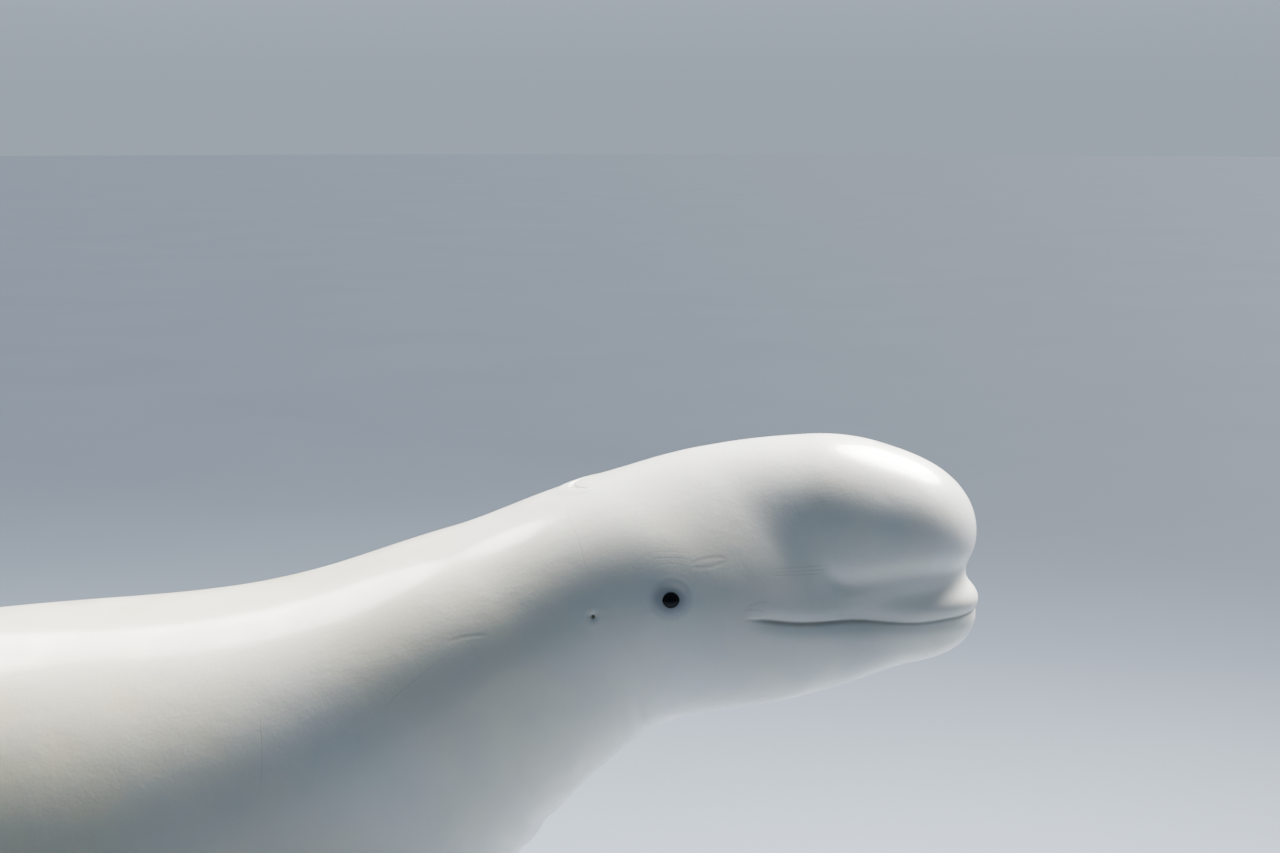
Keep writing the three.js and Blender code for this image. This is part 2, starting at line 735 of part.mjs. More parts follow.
const whale = new THREE.Group();
for (const [name, solid] of Object.entries(parts)) {
  const { vertProperties, triVerts } = solid.getMesh();
  const geometry = new THREE.BufferGeometry();
  geometry.setAttribute("position", new THREE.BufferAttribute(new Float32Array(vertProperties), 3));
  geometry.setIndex(new THREE.BufferAttribute(new Uint32Array(triVerts), 1));
  geometry.computeVertexNormals();
  const mesh = new THREE.Mesh(geometry, finishOf(name));
  mesh.name = name;
  whale.add(mesh);
}

export default whale;
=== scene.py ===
import math
from contextlib import contextmanager

import bmesh
import bpy
import numpy as np
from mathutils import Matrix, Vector
from mathutils.bvhtree import BVHTree


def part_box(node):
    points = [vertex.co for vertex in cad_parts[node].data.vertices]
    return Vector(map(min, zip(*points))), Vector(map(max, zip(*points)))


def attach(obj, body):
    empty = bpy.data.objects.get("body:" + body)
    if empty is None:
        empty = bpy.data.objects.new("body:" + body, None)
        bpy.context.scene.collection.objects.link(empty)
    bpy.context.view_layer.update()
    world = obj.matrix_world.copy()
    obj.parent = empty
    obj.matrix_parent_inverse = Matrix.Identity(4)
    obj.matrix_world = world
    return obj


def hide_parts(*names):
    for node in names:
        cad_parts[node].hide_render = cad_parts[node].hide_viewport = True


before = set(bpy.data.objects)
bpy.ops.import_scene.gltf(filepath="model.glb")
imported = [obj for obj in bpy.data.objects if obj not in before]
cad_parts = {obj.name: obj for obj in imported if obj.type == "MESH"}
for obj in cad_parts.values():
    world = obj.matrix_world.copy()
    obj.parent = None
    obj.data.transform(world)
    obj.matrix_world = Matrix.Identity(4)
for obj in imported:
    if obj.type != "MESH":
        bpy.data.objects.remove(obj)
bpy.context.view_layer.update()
scene = bpy.context.scene
mm = 0.001
print("frame loaded:", len(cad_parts), "nodes")


def middleOf(node):
    low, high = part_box(node)
    return (low + high) / 2


def addObject(name, data):
    thing = bpy.data.objects.new(name, data)
    scene.collection.objects.link(thing)
    return thing


# Camera, level with the animal's right side

cameraSet = {
    "lens": 60.0,  # mm
    "sensor": 36,  # mm wide
    "farthest": 200,  # metres
    "pitch": 8.7,  # degrees below level
    "fromEye": (-0.0295, -2.074, 0.492),  # metres from the middle of the right eye
}


def addCamera():
    data = bpy.data.cameras.new("camera")
    data.lens, data.sensor_width = cameraSet["lens"], cameraSet["sensor"]
    data.clip_end = cameraSet["farthest"]
    camera = addObject("camera", data)
    camera.location = middleOf("eye_right") + Vector(cameraSet["fromEye"])
    camera.rotation_euler = (math.radians(90 - cameraSet["pitch"]), 0, 0)
    scene.camera = camera


addCamera()
print("camera placed")


# The animal, straight and level, in millimetres.
# A point is [behind, left, up]: behind the upper lip, to the animal's left, over the mouth.

bodyOutline = {
    "at": (
        200, 320, 430, 530, 660, 830, 1060, 1350, 1650,
        1950, 2250, 2550, 2850, 3080, 3270, 3390, 3430, 3460,
    ),
    "back": (90, 126, 120, 123, 136, 168, 211, 244, 255, 242, 215, 180, 143, 113, 82, 57, 43, 25),
    "belly": (
        -50, -112, -163, -205, -256, -320, -372, -394, -380,
        -340, -274, -196, -124, -76, -40, -14, 1, 19,
    ),
    "widest": (5, 2, -4, -14, -30, -50, -66, -72, -66, -52, -30, -6, 10, 18, 21, 22, 22, 22),
    "half": (80, 138, 170, 192, 226, 272, 308, 326, 318, 290, 238, 172, 108, 66, 44, 36, 25, 8),
    "fullness": (2, 2, 2, 2, 2, 2, 2.05, 2.08, 2.05, 2, 1.95, 1.88, 1.8, 1.75, 1.8, 1.88, 1.94, 2),
}

headForms = (
    {"at": (320, 0, 22), "radii": (190, 154, 112), "blend": 60},  # cranium
    {"at": (250, 50, -20), "radii": (150, 84, 74), "blend": 45},  # cheeks
    {"at": (118, 0, -22), "radii": (111, 82, 42), "blend": 40},  # lower jaw
    {"at": (110, 0, 6), "radii": (112, 89, 50), "blend": 22},  # upper jaw
    {"at": (240, 0, 62), "radii": (120, 100, 104), "blend": 50},  # crown
    {"at": (165, 0, 77), "radii": (154, 108, 102), "blend": 20},  # melon
    {"at": (79, 0, 84), "radii": (68, 82, 60), "blend": 30},  # front of the melon
)
headReach = 700  # the head's forms end before this

mouth = {"length": 250, "fadeOver": 120}

mouthLine = {  # its height, from the lip to its raised corner
    "at": (0, 36, 74, 145, 198, 250),
    "level": (0, 0, -1.5, 3.5, 5.5, 13.5),
}

lips = {
    "height": 0.8,
    "spacing": 15,
    "width": 11,
    "grooveDepth": 1.8,
    "grooveWidth": 8.0,
    "creaseDepth": 3.0,  # the closed slit between the lips
    "creaseWidth": 1.9,
    "frontShare": 0.4,  # of the slit's depth at the front of the mouth
    "deepens": (70, 180),  # from its front share to its full depth
    "pastCorner": 6,
    "fadeOver": 30,
}


def readOutline(table, key, at):
    # Smooth curve through one column of a table
    places = np.array(table["at"], float)
    values = np.array(table[key], float)
    last = len(places) - 1
    at = np.clip(at, places[0], places[-1])
    before = np.maximum(np.arange(last + 1) - 1, 0)
    after = np.minimum(np.arange(last + 1) + 1, last)
    slopes = (values[after] - values[before]) / (places[after] - places[before])
    i = np.clip(np.searchsorted(places, at, side="right") - 1, 0, last - 1)
    width = places[i + 1] - places[i]
    t = (at - places[i]) / width
    rise = t * t * (3 - 2 * t)
    bend = t * (1 - t) * width
    return (1 - rise) * values[i] + rise * values[i + 1] + bend * ((1 - t) * slopes[i] - t * slopes[i + 1])


def smoothstep(x, low, high):
    t = np.clip((x - low) / (high - low), 0, 1)
    return t * t * (3 - 2 * t)


def bump(x):
    return np.exp(-x * x)


def melt(a, b, width):  # smaller of two distances, its corner rounded
    near = np.maximum(width - np.abs(a - b), 0) / width
    return np.minimum(a, b) - near * near * width / 4


def mouthLevel(behind):
    fade = 1 - smoothstep(behind, mouth["length"], mouth["length"] + mouth["fadeOver"])
    return fade * readOutline(mouthLine, "level", behind)


def formDistance(form, behind, left, up):
    x, y, z = behind - form["at"][0], np.abs(left) - form["at"][1], up - form["at"][2]
    a, b, c = form["radii"]
    k0 = np.sqrt((x / a) ** 2 + (y / b) ** 2 + (z / c) ** 2)
    k1 = np.sqrt((x / a**2) ** 2 + (y / b**2) ** 2 + (z / c**2) ** 2)
    return k0 * (k0 - 1) / np.maximum(k1, 1e-9)


def bodyDistance(behind, left, up):
    widest = readOutline(bodyOutline, "widest", behind)
    back = readOutline(bodyOutline, "back", behind)
    belly = readOutline(bodyOutline, "belly", behind)
    fullness = readOutline(bodyOutline, "fullness", behind)
    height = np.where(up > widest, back - widest, widest - belly)
    across = np.abs(left) / readOutline(bodyOutline, "half", behind)
    rise = np.abs(up - widest) / height
    ratio = (across**fullness + rise**fullness) ** (1 / fullness)
    beyond = np.maximum(0, bodyOutline["at"][0] - behind) + np.maximum(0, behind - bodyOutline["at"][-1])
    return beyond + np.hypot(left, up - widest) * (1 - 1 / np.maximum(ratio, 1e-6))


def lipRelief(behind, up):
    off = up - mouthLevel(behind)
    fade = smoothstep(mouth["length"] + lips["pastCorner"] - behind, 0, lips["fadeOver"])
    stand = bump((np.abs(off) - lips["spacing"]) / lips["width"]) * lips["height"]
    groove = bump(off / lips["grooveWidth"]) * lips["grooveDepth"]
    crease = bump(off / lips["creaseWidth"]) * lips["creaseDepth"]
    crease = crease * (lips["frontShare"] + (1 - lips["frontShare"]) * smoothstep(behind, *lips["deepens"]))
    return fade * (stand - groove - crease)


# Folds and creases, each a shallow furrow with a low swelling at its sides

melonCrease = {
    "at": (0, 30, 80, 118, 148, 164, 174),
    "up": (48, 50, 50, 45, 42, 47, 57),
    "depth": 3.2,
    "width": 9.5,
    "starts": (-20, 70),
    "ends": (-14, 6),  # from its last point
}

neckFolds = (  # furrows across the throat and neck, up to the angle top from the level of the flank
    {"behind": 374, "depth": 1.5, "width": 6, "lean": 14, "top": -14, "phase": 0},
    {"behind": 448, "depth": 1.7, "width": 9, "lean": -6, "top": -26, "phase": 2.1},
    {"behind": 516, "depth": 2.3, "width": 12, "lean": -20, "top": -6, "phase": 4.4},
    {"behind": 566, "depth": 1.3, "width": 10, "lean": -14, "top": -44, "phase": 1.2},
    {"behind": 662, "depth": 1.6, "width": 16, "lean": -30, "top": -34, "phase": 3.3},
)

flankFolds = (  # furrows along the lower flank, at an angle under its widest level
    {"start": 860, "end": 2150, "angle": -34, "drop": -8, "wave": 2.5, "depth": 4.0, "width": 20},
    {"start": 1000, "end": 2420, "angle": -54, "drop": 6, "wave": 2.0, "depth": 5.0, "width": 24},
    {"start": 1180, "end": 2300, "angle": -74, "drop": 4, "wave": 1.5, "depth": 3.5, "width": 20},
)

ridge = {"start": 1440, "length": 620, "halfWidth": 24, "height": 20, "bumps": 11, "wave": 0.18}

navel = {"behind": 1890, "radius": 13, "depth": 6}
vent = {"behind": 2330, "length": 150, "depth": 5, "width": 4}
underside = (60, 120)  # depth below the mouth over which the marks of the belly come in
lumps = {"height": 1.3, "along": 66, "around": 48, "starts": (420, 800), "ends": (2600, 3100)}


def furrow(off, width, depth, puff=0.35):
    return depth * (puff * bump((np.abs(off) - 2 * width) / (1.3 * width)) - bump(off / width))


def melonRelief(behind, up):
    off = up - readOutline(melonCrease, "up", behind)
    past = behind - melonCrease["at"][-1]
    fade = smoothstep(behind, *melonCrease["starts"]) * (1 - smoothstep(past, *melonCrease["ends"]))
    return fade * furrow(off, melonCrease["width"], melonCrease["depth"], 0.15)


def neckRelief(behind, left, angle):
    total = 0
    for fold in neckFolds:
        place = fold["behind"] + fold["lean"] * angle / 90
        place = place + 4 * np.sin(angle / 17 + left / 90 + fold["phase"])
        fade = 1 - smoothstep(angle, fold["top"] - 26, fold["top"] + 8)
        fade = fade * (0.75 + 0.25 * np.sin(angle / 13 + left / 60 + 2 * fold["phase"]))
        total = total + fade * furrow(behind - place, fold["width"], fold["depth"])
    return total


def flankRelief(behind, reach, angle):
    total = 0
    for fold in flankFolds:
        share = (behind - fold["start"]) / (fold["end"] - fold["start"])
        level = fold["angle"] + fold["drop"] * share + fold["wave"] * np.sin(behind / 130 + fold["angle"])
        fade = smoothstep(share, 0, 0.2) * (1 - smoothstep(share, 0.75, 1))
        total = total + fade * furrow(np.radians(angle - level) * reach, fold["width"], fold["depth"])
    return total


def ridgeRelief(behind, left, up):
    share = (behind - ridge["start"]) / ridge["length"]
    arch = np.sin(math.pi * np.clip(share, 0, 1)) ** 0.6
    uneven = 1 + 0.1 * np.sin(behind / 37) + 0.06 * np.sin(behind / 11)
    wave = 1 - ridge["wave"] * (1 + np.cos(2 * math.pi * ridge["bumps"] * share)) * uneven
    half = ridge["halfWidth"] * (0.35 + 0.65 * arch)
    return np.where(up > 0, ridge["height"] * arch * wave * bump(left / (0.62 * half)), 0)


def bellyRelief(behind, left, up):
    under = smoothstep(-up, *underside)
    dimple = bump(np.hypot(behind - navel["behind"], left) / navel["radius"]) * navel["depth"]
    fade = 1 - smoothstep(np.abs(behind - vent["behind"]), vent["length"] * 0.3, vent["length"] * 0.5)
    return under * (fade * furrow(left, vent["width"], vent["depth"]) - dimple)


def relief(behind, left, up):
    # How far folds, lips and ridge stand out of the smooth body
    widest = readOutline(bodyOutline, "widest", behind)
    angle = np.degrees(np.arctan2(up - widest, np.abs(left)))
    reach = np.hypot(left, up - widest)
    wavy = np.sin(behind / lumps["along"] + left / 90) * np.sin(up / lumps["around"] - behind / 120)
    wavy = wavy * smoothstep(behind, *lumps["starts"]) * (1 - smoothstep(behind, *lumps["ends"]))
    return (
        lipRelief(behind, up)
        + melonRelief(behind, up)
        + neckRelief(behind, left, angle)
        + flankRelief(behind, reach, angle)
        + ridgeRelief(behind, left, up)
        + bellyRelief(behind, left, up)
        + lumps["height"] * wavy
    )


def skinDistance(points):
    # Distance from the skin without its fins, below 0 inside the animal
    behind, left, up = points[..., 0], points[..., 1], points[..., 2]
    distance = bodyDistance(behind, left, up)
    head = behind < headReach
    near = distance[head]
    for form in headForms:
        near = melt(near, formDistance(form, behind[head], left[head], up[head]), form["blend"])
    distance[head] = near
    return distance - relief(behind, left, up)


def lastInside(at, inside, outside, steps):
    # How far along each line the animal's skin lies, by halving the part in which it is left
    for _ in range(steps):
        middle = (inside + outside) / 2
        within = skinDistance(at(middle)) < 0
        inside = np.where(within, middle, inside)
        outside = np.where(within, outside, middle)
    return inside


def skinPoints(origins, ways, reach=460):
    # Where rays from inside the animal leave its skin
    def at(length):
        points = origins + ways * length[:, None]
        points[:, 2] += mouthLevel(points[:, 0])
        return points

    return at(lastInside(at, np.zeros(len(origins)), np.full(len(origins), float(reach)), 26))


def skinPoint(origin, way):
    return skinPoints(np.array([origin], float), np.array([way], float))[0]


def slopeOf(distance, points, step=0.5):
    # Direction in which a distance grows fastest
    columns = []
    for axis in range(3):
        move = np.zeros(3)
        move[axis] = step
        columns.append((distance(points + move) - distance(points - move)) / (2 * step))
    return np.stack(columns, -1)


def unit(vectors):
    return vectors / np.linalg.norm(vectors, axis=-1, keepdims=True)


# Grid of the skin: rings across the body, rows along it, closer where the form is finer

skinGrid = {
    "rowsPerSide": 96,
    "mouthRows": {"angle": 0, "width": 5, "gain": 6, "ends": (430, 900)},  # drawn to the mouth's line
    "ridgeRows": {  # drawn to the ridge of the back
        "angle": 90, "width": 9, "gain": 2.6, "starts": (950, 1350), "ends": (2150, 2500),
    },
    "levelled": (400, 620),  # where the middles of the rings move to the body's widest level
    "fanFrom": 130,  # the front of the head is fanned from here
    "fanRings": 68,
    "fanCrowding": 1.25,
    "fanSkips": (8,) * 3 + (4,) * 3 + (2,) * 5,  # rows skipped by the first rings round the snout
    "spacing": {  # distance between rings along the body
        "at": (130, 440, 520, 700, 1000, 1400, 1460, 2060, 2150, 2600, 3000, 3200, 3500),
        "gap": (3.7, 3.9, 5.5, 7, 14, 14, 8.5, 8.5, 15, 18, 15, 11, 9),
    },
    "halved": (2600, 3150),  # every second row ends at each of these
    "capLength": 3,
    "capRings": 2,
}


def crowdedAngles(crowd):
    # Angles of the rows of one side, from the belly to the back
    fine = np.linspace(-90, 90, 2001)
    density = 1 + crowd["gain"] * bump((fine - crowd["angle"]) / crowd["width"])
    total = np.concatenate([[0], np.cumsum((density[1:] + density[:-1]) / 2)])
    return np.interp(np.arange(skinGrid["rowsPerSide"]) / skinGrid["rowsPerSide"], total / total[-1], fine)


def rowAngles(behind):
    even = crowdedAngles({"angle": 0, "width": 1, "gain": 0})
    mouthRows, ridgeRows = skinGrid["mouthRows"], skinGrid["ridgeRows"]
    toMouth = 1 - smoothstep(behind, *mouthRows["ends"])
    toRidge = smoothstep(behind, *ridgeRows["starts"]) * (1 - smoothstep(behind, *ridgeRows["ends"]))
    shift = np.outer(toMouth, crowdedAngles(mouthRows) - even)
    shift += np.outer(toRidge, crowdedAngles(ridgeRows) - even)
    side = np.radians(even + shift)
    return np.concatenate([side, math.pi + side], 1)


def ringPlaces():
    places = [skinGrid["fanFrom"]]
    end = bodyOutline["at"][-1]
    while places[-1] < end:
        places.append(places[-1] + float(readOutline(skinGrid["spacing"], "gap", places[-1])))
    places = np.array(places)
    return places[0] + (places - places[0]) * (end - places[0]) / (places[-1] - places[0])


def gridRings():
    # Points of every ring, and how many rows each ring skips to
    fanCount = skinGrid["fanRings"]
    lean = math.pi / 2 * (np.arange(1, fanCount) / fanCount) ** skinGrid["fanCrowding"]
    places = ringPlaces()
    level = readOutline(bodyOutline, "widest", places) * smoothstep(places, *skinGrid["levelled"])
    angles = rowAngles(np.concatenate([np.full(fanCount - 1, skinGrid["fanFrom"]), places]))
    spread = np.concatenate([np.sin(lean), np.ones(len(places))])[:, None]
    ahead = np.concatenate([np.cos(lean), np.zeros(len(places))])[:, None]
    ways = np.stack([-ahead + 0 * angles, -spread * np.cos(angles), spread * np.sin(angles)], -1)
    origins = np.zeros_like(ways)
    origins[..., 0] = np.concatenate([np.full(fanCount - 1, skinGrid["fanFrom"]), places])[:, None]
    origins[fanCount - 1 :, :, 2] = level[:, None]
    rings = skinPoints(origins.reshape(-1, 3), ways.reshape(-1, 3)).reshape(ways.shape)
    skips = list(skinGrid["fanSkips"])
    skips += [1] * (fanCount - 1 - len(skips))
    skips += [2 ** sum(place > end for end in skinGrid["halved"]) for place in places]
    return rings, skips


def roundedEnd(ring):
    # Rings that close the tail's end with a small dome, and its last point
    centre = np.array([ring[0, 0], 0, ring[:, 2].mean()])
    rings = []
    for k in range(1, skinGrid["capRings"] + 1):
        turn = math.pi / 2 * k / (skinGrid["capRings"] + 1)
        cap = centre + (ring - centre) * math.cos(turn)
        cap[:, 0] += skinGrid["capLength"] * math.sin(turn)
        rings.append(cap)
    return rings, centre + (skinGrid["capLength"], 0, 0)


def stitched(ring, skip, nextSkip, count):
    # Faces between a ring and the next, where one may have half the points of the other
    fine, coarse = min(skip, nextSkip), max(skip, nextSkip)
    here, there = ring * count, (ring + 1) * count
    quads, triangles = [], []
    for k in range(0, count, coarse):
        end = (k + coarse) % count
        if skip == nextSkip:
            quads.append((here + k, here + end, there + end, there + k))
            continue
        a, b = (here, there) if skip == coarse else (there, here)
        middle = b + k + fine
        triangles += [(a + k, b + k, middle), (a + k, middle, a + end), (middle, b + end, a + end)]
    return quads, triangles


def skinMesh():
    rings, skips = gridRings()
    caps, tailEnd = roundedEnd(rings[-1])
    rings = np.concatenate([rings, caps])
    skips += [skips[-1]] * len(caps)
    count = rings.shape[1]
    snout = skinPoint((skinGrid["fanFrom"], 0, 0), (-1, 0, 0))
    points = np.concatenate([rings.reshape(-1, 3), [snout, tailEnd]])
    quads, triangles = [], []
    for ring in range(len(rings) - 1):
        more = stitched(ring, skips[ring], skips[ring + 1], count)
        quads += more[0]
        triangles += more[1]
    last = (len(rings) - 1) * count
    for k in range(0, count, skips[0]):
        triangles.append((len(points) - 2, k, (k + skips[0]) % count))
    for k in range(0, count, skips[-1]):
        triangles.append((len(points) - 1, last + k, last + (k + skips[-1]) % count))
    return {"points": points, "quads": np.array(quads), "triangles": triangles}


# Patches: round openings in the grid, filled with finer rings for eyes, ears and blowhole

patchRim = 0.94  # where the loop round an opening lies, as a share of the patch's radius


def patchFrame(point, hint):
    out = unit(slopeOf(skinDistance, point[None]))[0]
    up = unit(np.array(hint, float) - out * np.dot(hint, out))
    return {"at": point, "along": np.cross(up, out), "up": up, "out": out}


def onPatch(place, along, up, height, reach=50.0):
    # Points of the skin over places in the patch's plane, raised by a height
    base = place["at"] + along[:, None] * place["along"] + up[:, None] * place["up"]

    def at(rise):
        return base + rise[:, None] * place["out"]

    edge = np.full(len(base), reach)
    return at(lastInside(at, -edge, edge, 24) + height)


def roundRing(place, turn, radius, height):
    return onPatch(place, radius * np.cos(turn), radius * np.sin(turn), height)


def openPatch(mesh, place, radii):
    # Removes the grid's faces inside an ellipse and returns the loop round it, on the ellipse
    away = mesh["points"] - place["at"]
    flat = np.stack([away @ place["along"] / radii[0], away @ place["up"] / radii[1]], -1)
    inside = (np.hypot(flat[:, 0], flat[:, 1]) < 1) & (np.abs(away @ place["out"]) < 60)
    gone = inside[mesh["quads"]].all(1)
    edges = [edge for quad in mesh["quads"][gone] for edge in zip(quad, np.roll(quad, -1))]
    mesh["quads"] = mesh["quads"][~gone]
    known = set(edges)
    follow = {a: b for a, b in edges if (b, a) not in known}
    start = min(follow, key=lambda k: abs(math.atan2(flat[k, 1], flat[k, 0])))
    loop = [start]
    while follow[loop[-1]] != start:
        loop.append(follow[loop[-1]])
    turns = np.unwrap(np.arctan2(flat[loop, 1], flat[loop, 0]))
    if turns[-1] < turns[0]:
        loop = [start] + loop[:0:-1]
        turns = np.unwrap(np.arctan2(flat[loop, 1], flat[loop, 0]))
    along, up = patchRim * radii[0] * np.cos(turns), patchRim * radii[1] * np.sin(turns)
    mesh["points"][loop] = onPatch(place, along, up, 0)
    return np.array(loop), turns


def evened(turns, share):
    # Angles of a loop, drawn to even spacing by a share
    count = len(turns)
    even = 2 * math.pi * (np.arange(count) + 0.5) / count
    return turns + (even - turns) * share


def addLoop(mesh, loop, ring):
    # Adds a ring of points inside a loop, joined to it, and returns the new loop
    first = len(mesh["points"])
    mesh["points"] = np.concatenate([mesh["points"], ring])
    new = first + np.arange(len(ring))
    quads = np.stack([loop, np.roll(loop, -1), np.roll(new, -1), new], -1)
    mesh["quads"] = np.concatenate([mesh["quads"], quads])
    return new


def closeLoop(mesh, loop, point):
    mesh["points"] = np.concatenate([mesh["points"], point[None]])
    last = len(mesh["points"]) - 1
    mesh["triangles"] += [(a, b, last) for a, b in zip(loop, np.roll(loop, -1))]


def zipLoop(mesh, loop):
    # Closes a long narrow loop by joining its two sides
    count = len(loop)
    for k in range((count - 1) // 2):
        a, b, c, d = loop[k], loop[k + 1], loop[count - 2 - k], loop[count - 1 - k]
        mesh["triangles"].append((a, b, d))
        if b != c:
            mesh["triangles"].append((b, c, d))


eye = {
    "behind": 325,
    "up": 38,
    "ball": 15.0,
    "sunk": 12.2,
    "room": 0.35,  # between the eyeball and the flesh round it
    "patch": 37,
    "rings": 17,
    "crowding": 1.5,  # of the rings towards the lids
    "opening": 7.5,
    "wide": 0.04,  # how much longer than high the opening is
    "corner": 0.5,  # how far its two corners reach out
    "round": 20,  # from this distance on the rings are round
    "lidEdge": 0.25,  # thickness of the lids where they touch the eye
    "pocketTilts": (0, 42, 58, 78, 100, 125, 150, 168),  # rings of the socket, the first at the lids' edge
}

lidProfile = {  # height of the lids over the skin, by distance from the middle of the eye
    "at": (7.5, 8.5, 10.2, 12.6, 15, 17.2, 18.6, 20.4, 23.6, 25.4, 27.4, 31, 35),
    "height": (1.3, 1.5, 1.5, 1.2, 0.8, 0.4, 0.25, 0.35, 0.2, 0.05, 0.1, 0, 0),
}


def addEyeSocket(mesh, side):
    point = skinPoint((eye["behind"], 0, eye["up"] - mouthLevel(eye["behind"])), (0, side, 0))
    place = patchFrame(point, (0, 0, 1))
    loop, turns = openPatch(mesh, place, (eye["patch"], eye["patch"]))
    opening, outer = eye["opening"], patchRim * eye["patch"]
    for k in range(1, eye["rings"] + 1):
        share = k / eye["rings"]
        turn = evened(turns, smoothstep(share, 0, 0.5))
        distance = opening + (outer - opening) * (1 - share) ** eye["crowding"]
        lid = 1 + eye["wide"] * np.cos(2 * turn) + eye["corner"] / opening * np.cos(turn) ** 16
        shape = distance * (1 + (lid - 1) * smoothstep(-distance, -eye["round"], -opening))
        height = readOutline(lidProfile, "height", distance)
        loop = addLoop(mesh, loop, roundRing(place, turn, shape, height))
    centre = point - eye["sunk"] * place["out"]
    pocket = eye["ball"] + eye["room"]
    for tilt in eye["pocketTilts"]:
        radius = pocket * math.sin(math.radians(tilt)) + 0 * turn if tilt else shape - eye["lidEdge"]
        depth = np.sqrt(pocket**2 - radius**2) * (1 if tilt < 90 else -1)
        ring = centre + depth[:, None] * place["out"]
        ring = ring + (radius * np.cos(turn))[:, None] * place["along"]
        ring = ring + (radius * np.sin(turn))[:, None] * place["up"]
        loop = addLoop(mesh, loop, ring)
    closeLoop(mesh, loop, centre - pocket * place["out"])
    return {"at": point, "centre": centre, "out": place["out"]}


ear = {
    "behind": 400,
    "up": 31,
    "patch": 15,
    "hole": 1.8,
    "rings": (0.2, 0.4, 0.58, 0.74, 0.88, 1),  # shares of the way from the patch's rim to the hole
    "canal": ((3.5, 1.5), (7, 1)),  # depth and radius
    "bottom": 7.6,
}

earProfile = {  # height of the skin round the hole
    "at": (1.8, 2.4, 4, 7, 10, 14.5),
    "height": (-1.6, -1.1, -0.3, 0.5, 0.4, 0),
}


def addEar(mesh, side):
    point = skinPoint((ear["behind"], 0, ear["up"]), (0, side, 0))
    place = patchFrame(point, (0, 0, 1))
    loop, turns = openPatch(mesh, place, (ear["patch"], ear["patch"]))
    for share in ear["rings"]:
        turn = evened(turns, smoothstep(share, 0, 0.6))
        distance = ear["hole"] + (patchRim * ear["patch"] - ear["hole"]) * (1 - share)
        height = readOutline(earProfile, "height", distance)
        loop = addLoop(mesh, loop, roundRing(place, turn, distance, height))
    for depth, radius in ear["canal"]:
        loop = addLoop(mesh, loop, roundRing(place, turn, radius, -depth))
    closeLoop(mesh, loop, point - ear["bottom"] * place["out"])
    return point


blowhole = {
    "behind": 392,
    "halfWidth": 38,
    "bow": 16,
    "opening": 2.6,
    "patch": (62, 46),
    "rings": 15,
    "crowding": 1.6,  # of the rings towards the slit
    "reach": 40,  # how far from the slit its lips have melted into the head
    "swelling": 8,  # how far from the slit they stand highest
    "lipHeight": 1.1,
    "plugHeight": 0.8,
    "inside": ((1.5, 1.7), (5, 1.1), (12, 0.5)),  # depth and half opening of the slit's walls
}


def crescent(turn, opening):
    # Closed curve of the slit, its horns forward: to the right and behind
    bowed = blowhole["bow"] * (np.sin(turn) ** 2 - 0.5)
    return blowhole["halfWidth"] * np.cos(turn), bowed + opening * np.sin(turn)


def addBlowhole(mesh):
    point = skinPoint((blowhole["behind"] + blowhole["bow"] / 2, 0, 0), (0, 0, 1))
    place = patchFrame(point, (1, 0, 0))
    radii, reach, swelling = blowhole["patch"], blowhole["reach"], blowhole["swelling"]
    loop, turns = openPatch(mesh, place, radii)
    for k in range(1, blowhole["rings"] + 1):
        share = k / blowhole["rings"]
        out = (1 - share) ** blowhole["crowding"]
        turn = evened(turns, smoothstep(share, 0, 0.5))
        along, back = crescent(turn, blowhole["opening"])
        along = along + (patchRim * radii[0] * np.cos(turn) - along) * out
        back = back + (patchRim * radii[1] * np.sin(turn) - back) * out
        away = out * reach
        rear = smoothstep(np.sin(turn), -0.3, 0.3)
        stand = rear * blowhole["lipHeight"] + (1 - rear) * blowhole["plugHeight"]
        puff = bump((away - swelling) / swelling) + 0.3 * bump(away / 3)
        height = stand * puff * (1 - smoothstep(away, 0.75 * reach, 0.95 * reach))
        loop = addLoop(mesh, loop, onPatch(place, along, back, height))
    for depth, opening in blowhole["inside"]:
        along, back = crescent(turn, opening)
        loop = addLoop(mesh, loop, onPatch(place, along * 0.985, back, -depth))
    zipLoop(mesh, loop)


# Fins, each a loft of rounded sections along a bent middle line

finEdge = 3  # thickness of a trailing edge

flipper = {
    "behind": 775,
    "up": -175,
    "length": 430,
    "halfRoot": 88,
    "thickness": 54,
    "curl": 34,
    "outward": (0.36, 0.88, -0.24),
    "sweep": (0.34, -0.26, 0.04),
    "face": (0.1, 0.35, 0.93),
    "tipSharpness": 6,
    "rings": 48,
    "digits": 0.7,  # height of the finger bones' trace in the skin
    "digitCount": 4.2,
    "digitsStart": (0.3, 0.6),
    "digitsEnd": (0.8, 1),
}

flipperOutline = {
    "at": (-0.3, -0.08, 0.06, 0.25, 0.5, 0.75, 1),
    "middle": (0.2, 0.09, 0.03, 0.06, 0.17, 0.27, 0.5),
    "half": (0.6, 0.98, 0.98, 1.08, 1.22, 1.23, 1.2),
    "thickness": (0.9, 1.15, 1, 0.84, 0.66, 0.5, 0.42),
}

fluke = {
    "up": 22,
    "span": 430,
    "thickness": 58,
    "lift": 18,
    "tipSharpness": 10,
    "rings": 64,
    "unevenness": 64,
    "notch": 0.025,  # roundness of the notch between the flukes
}

flukeOutline = {
    "at": (0, 0.08, 0.25, 0.5, 0.75, 1),
    "middle": (3348, 3374, 3416, 3466, 3511, 3566),
    "half": (142, 153, 154, 123, 80, 42),
    "thickness": (1, 0.95, 0.78, 0.54, 0.36, 0.24),
}


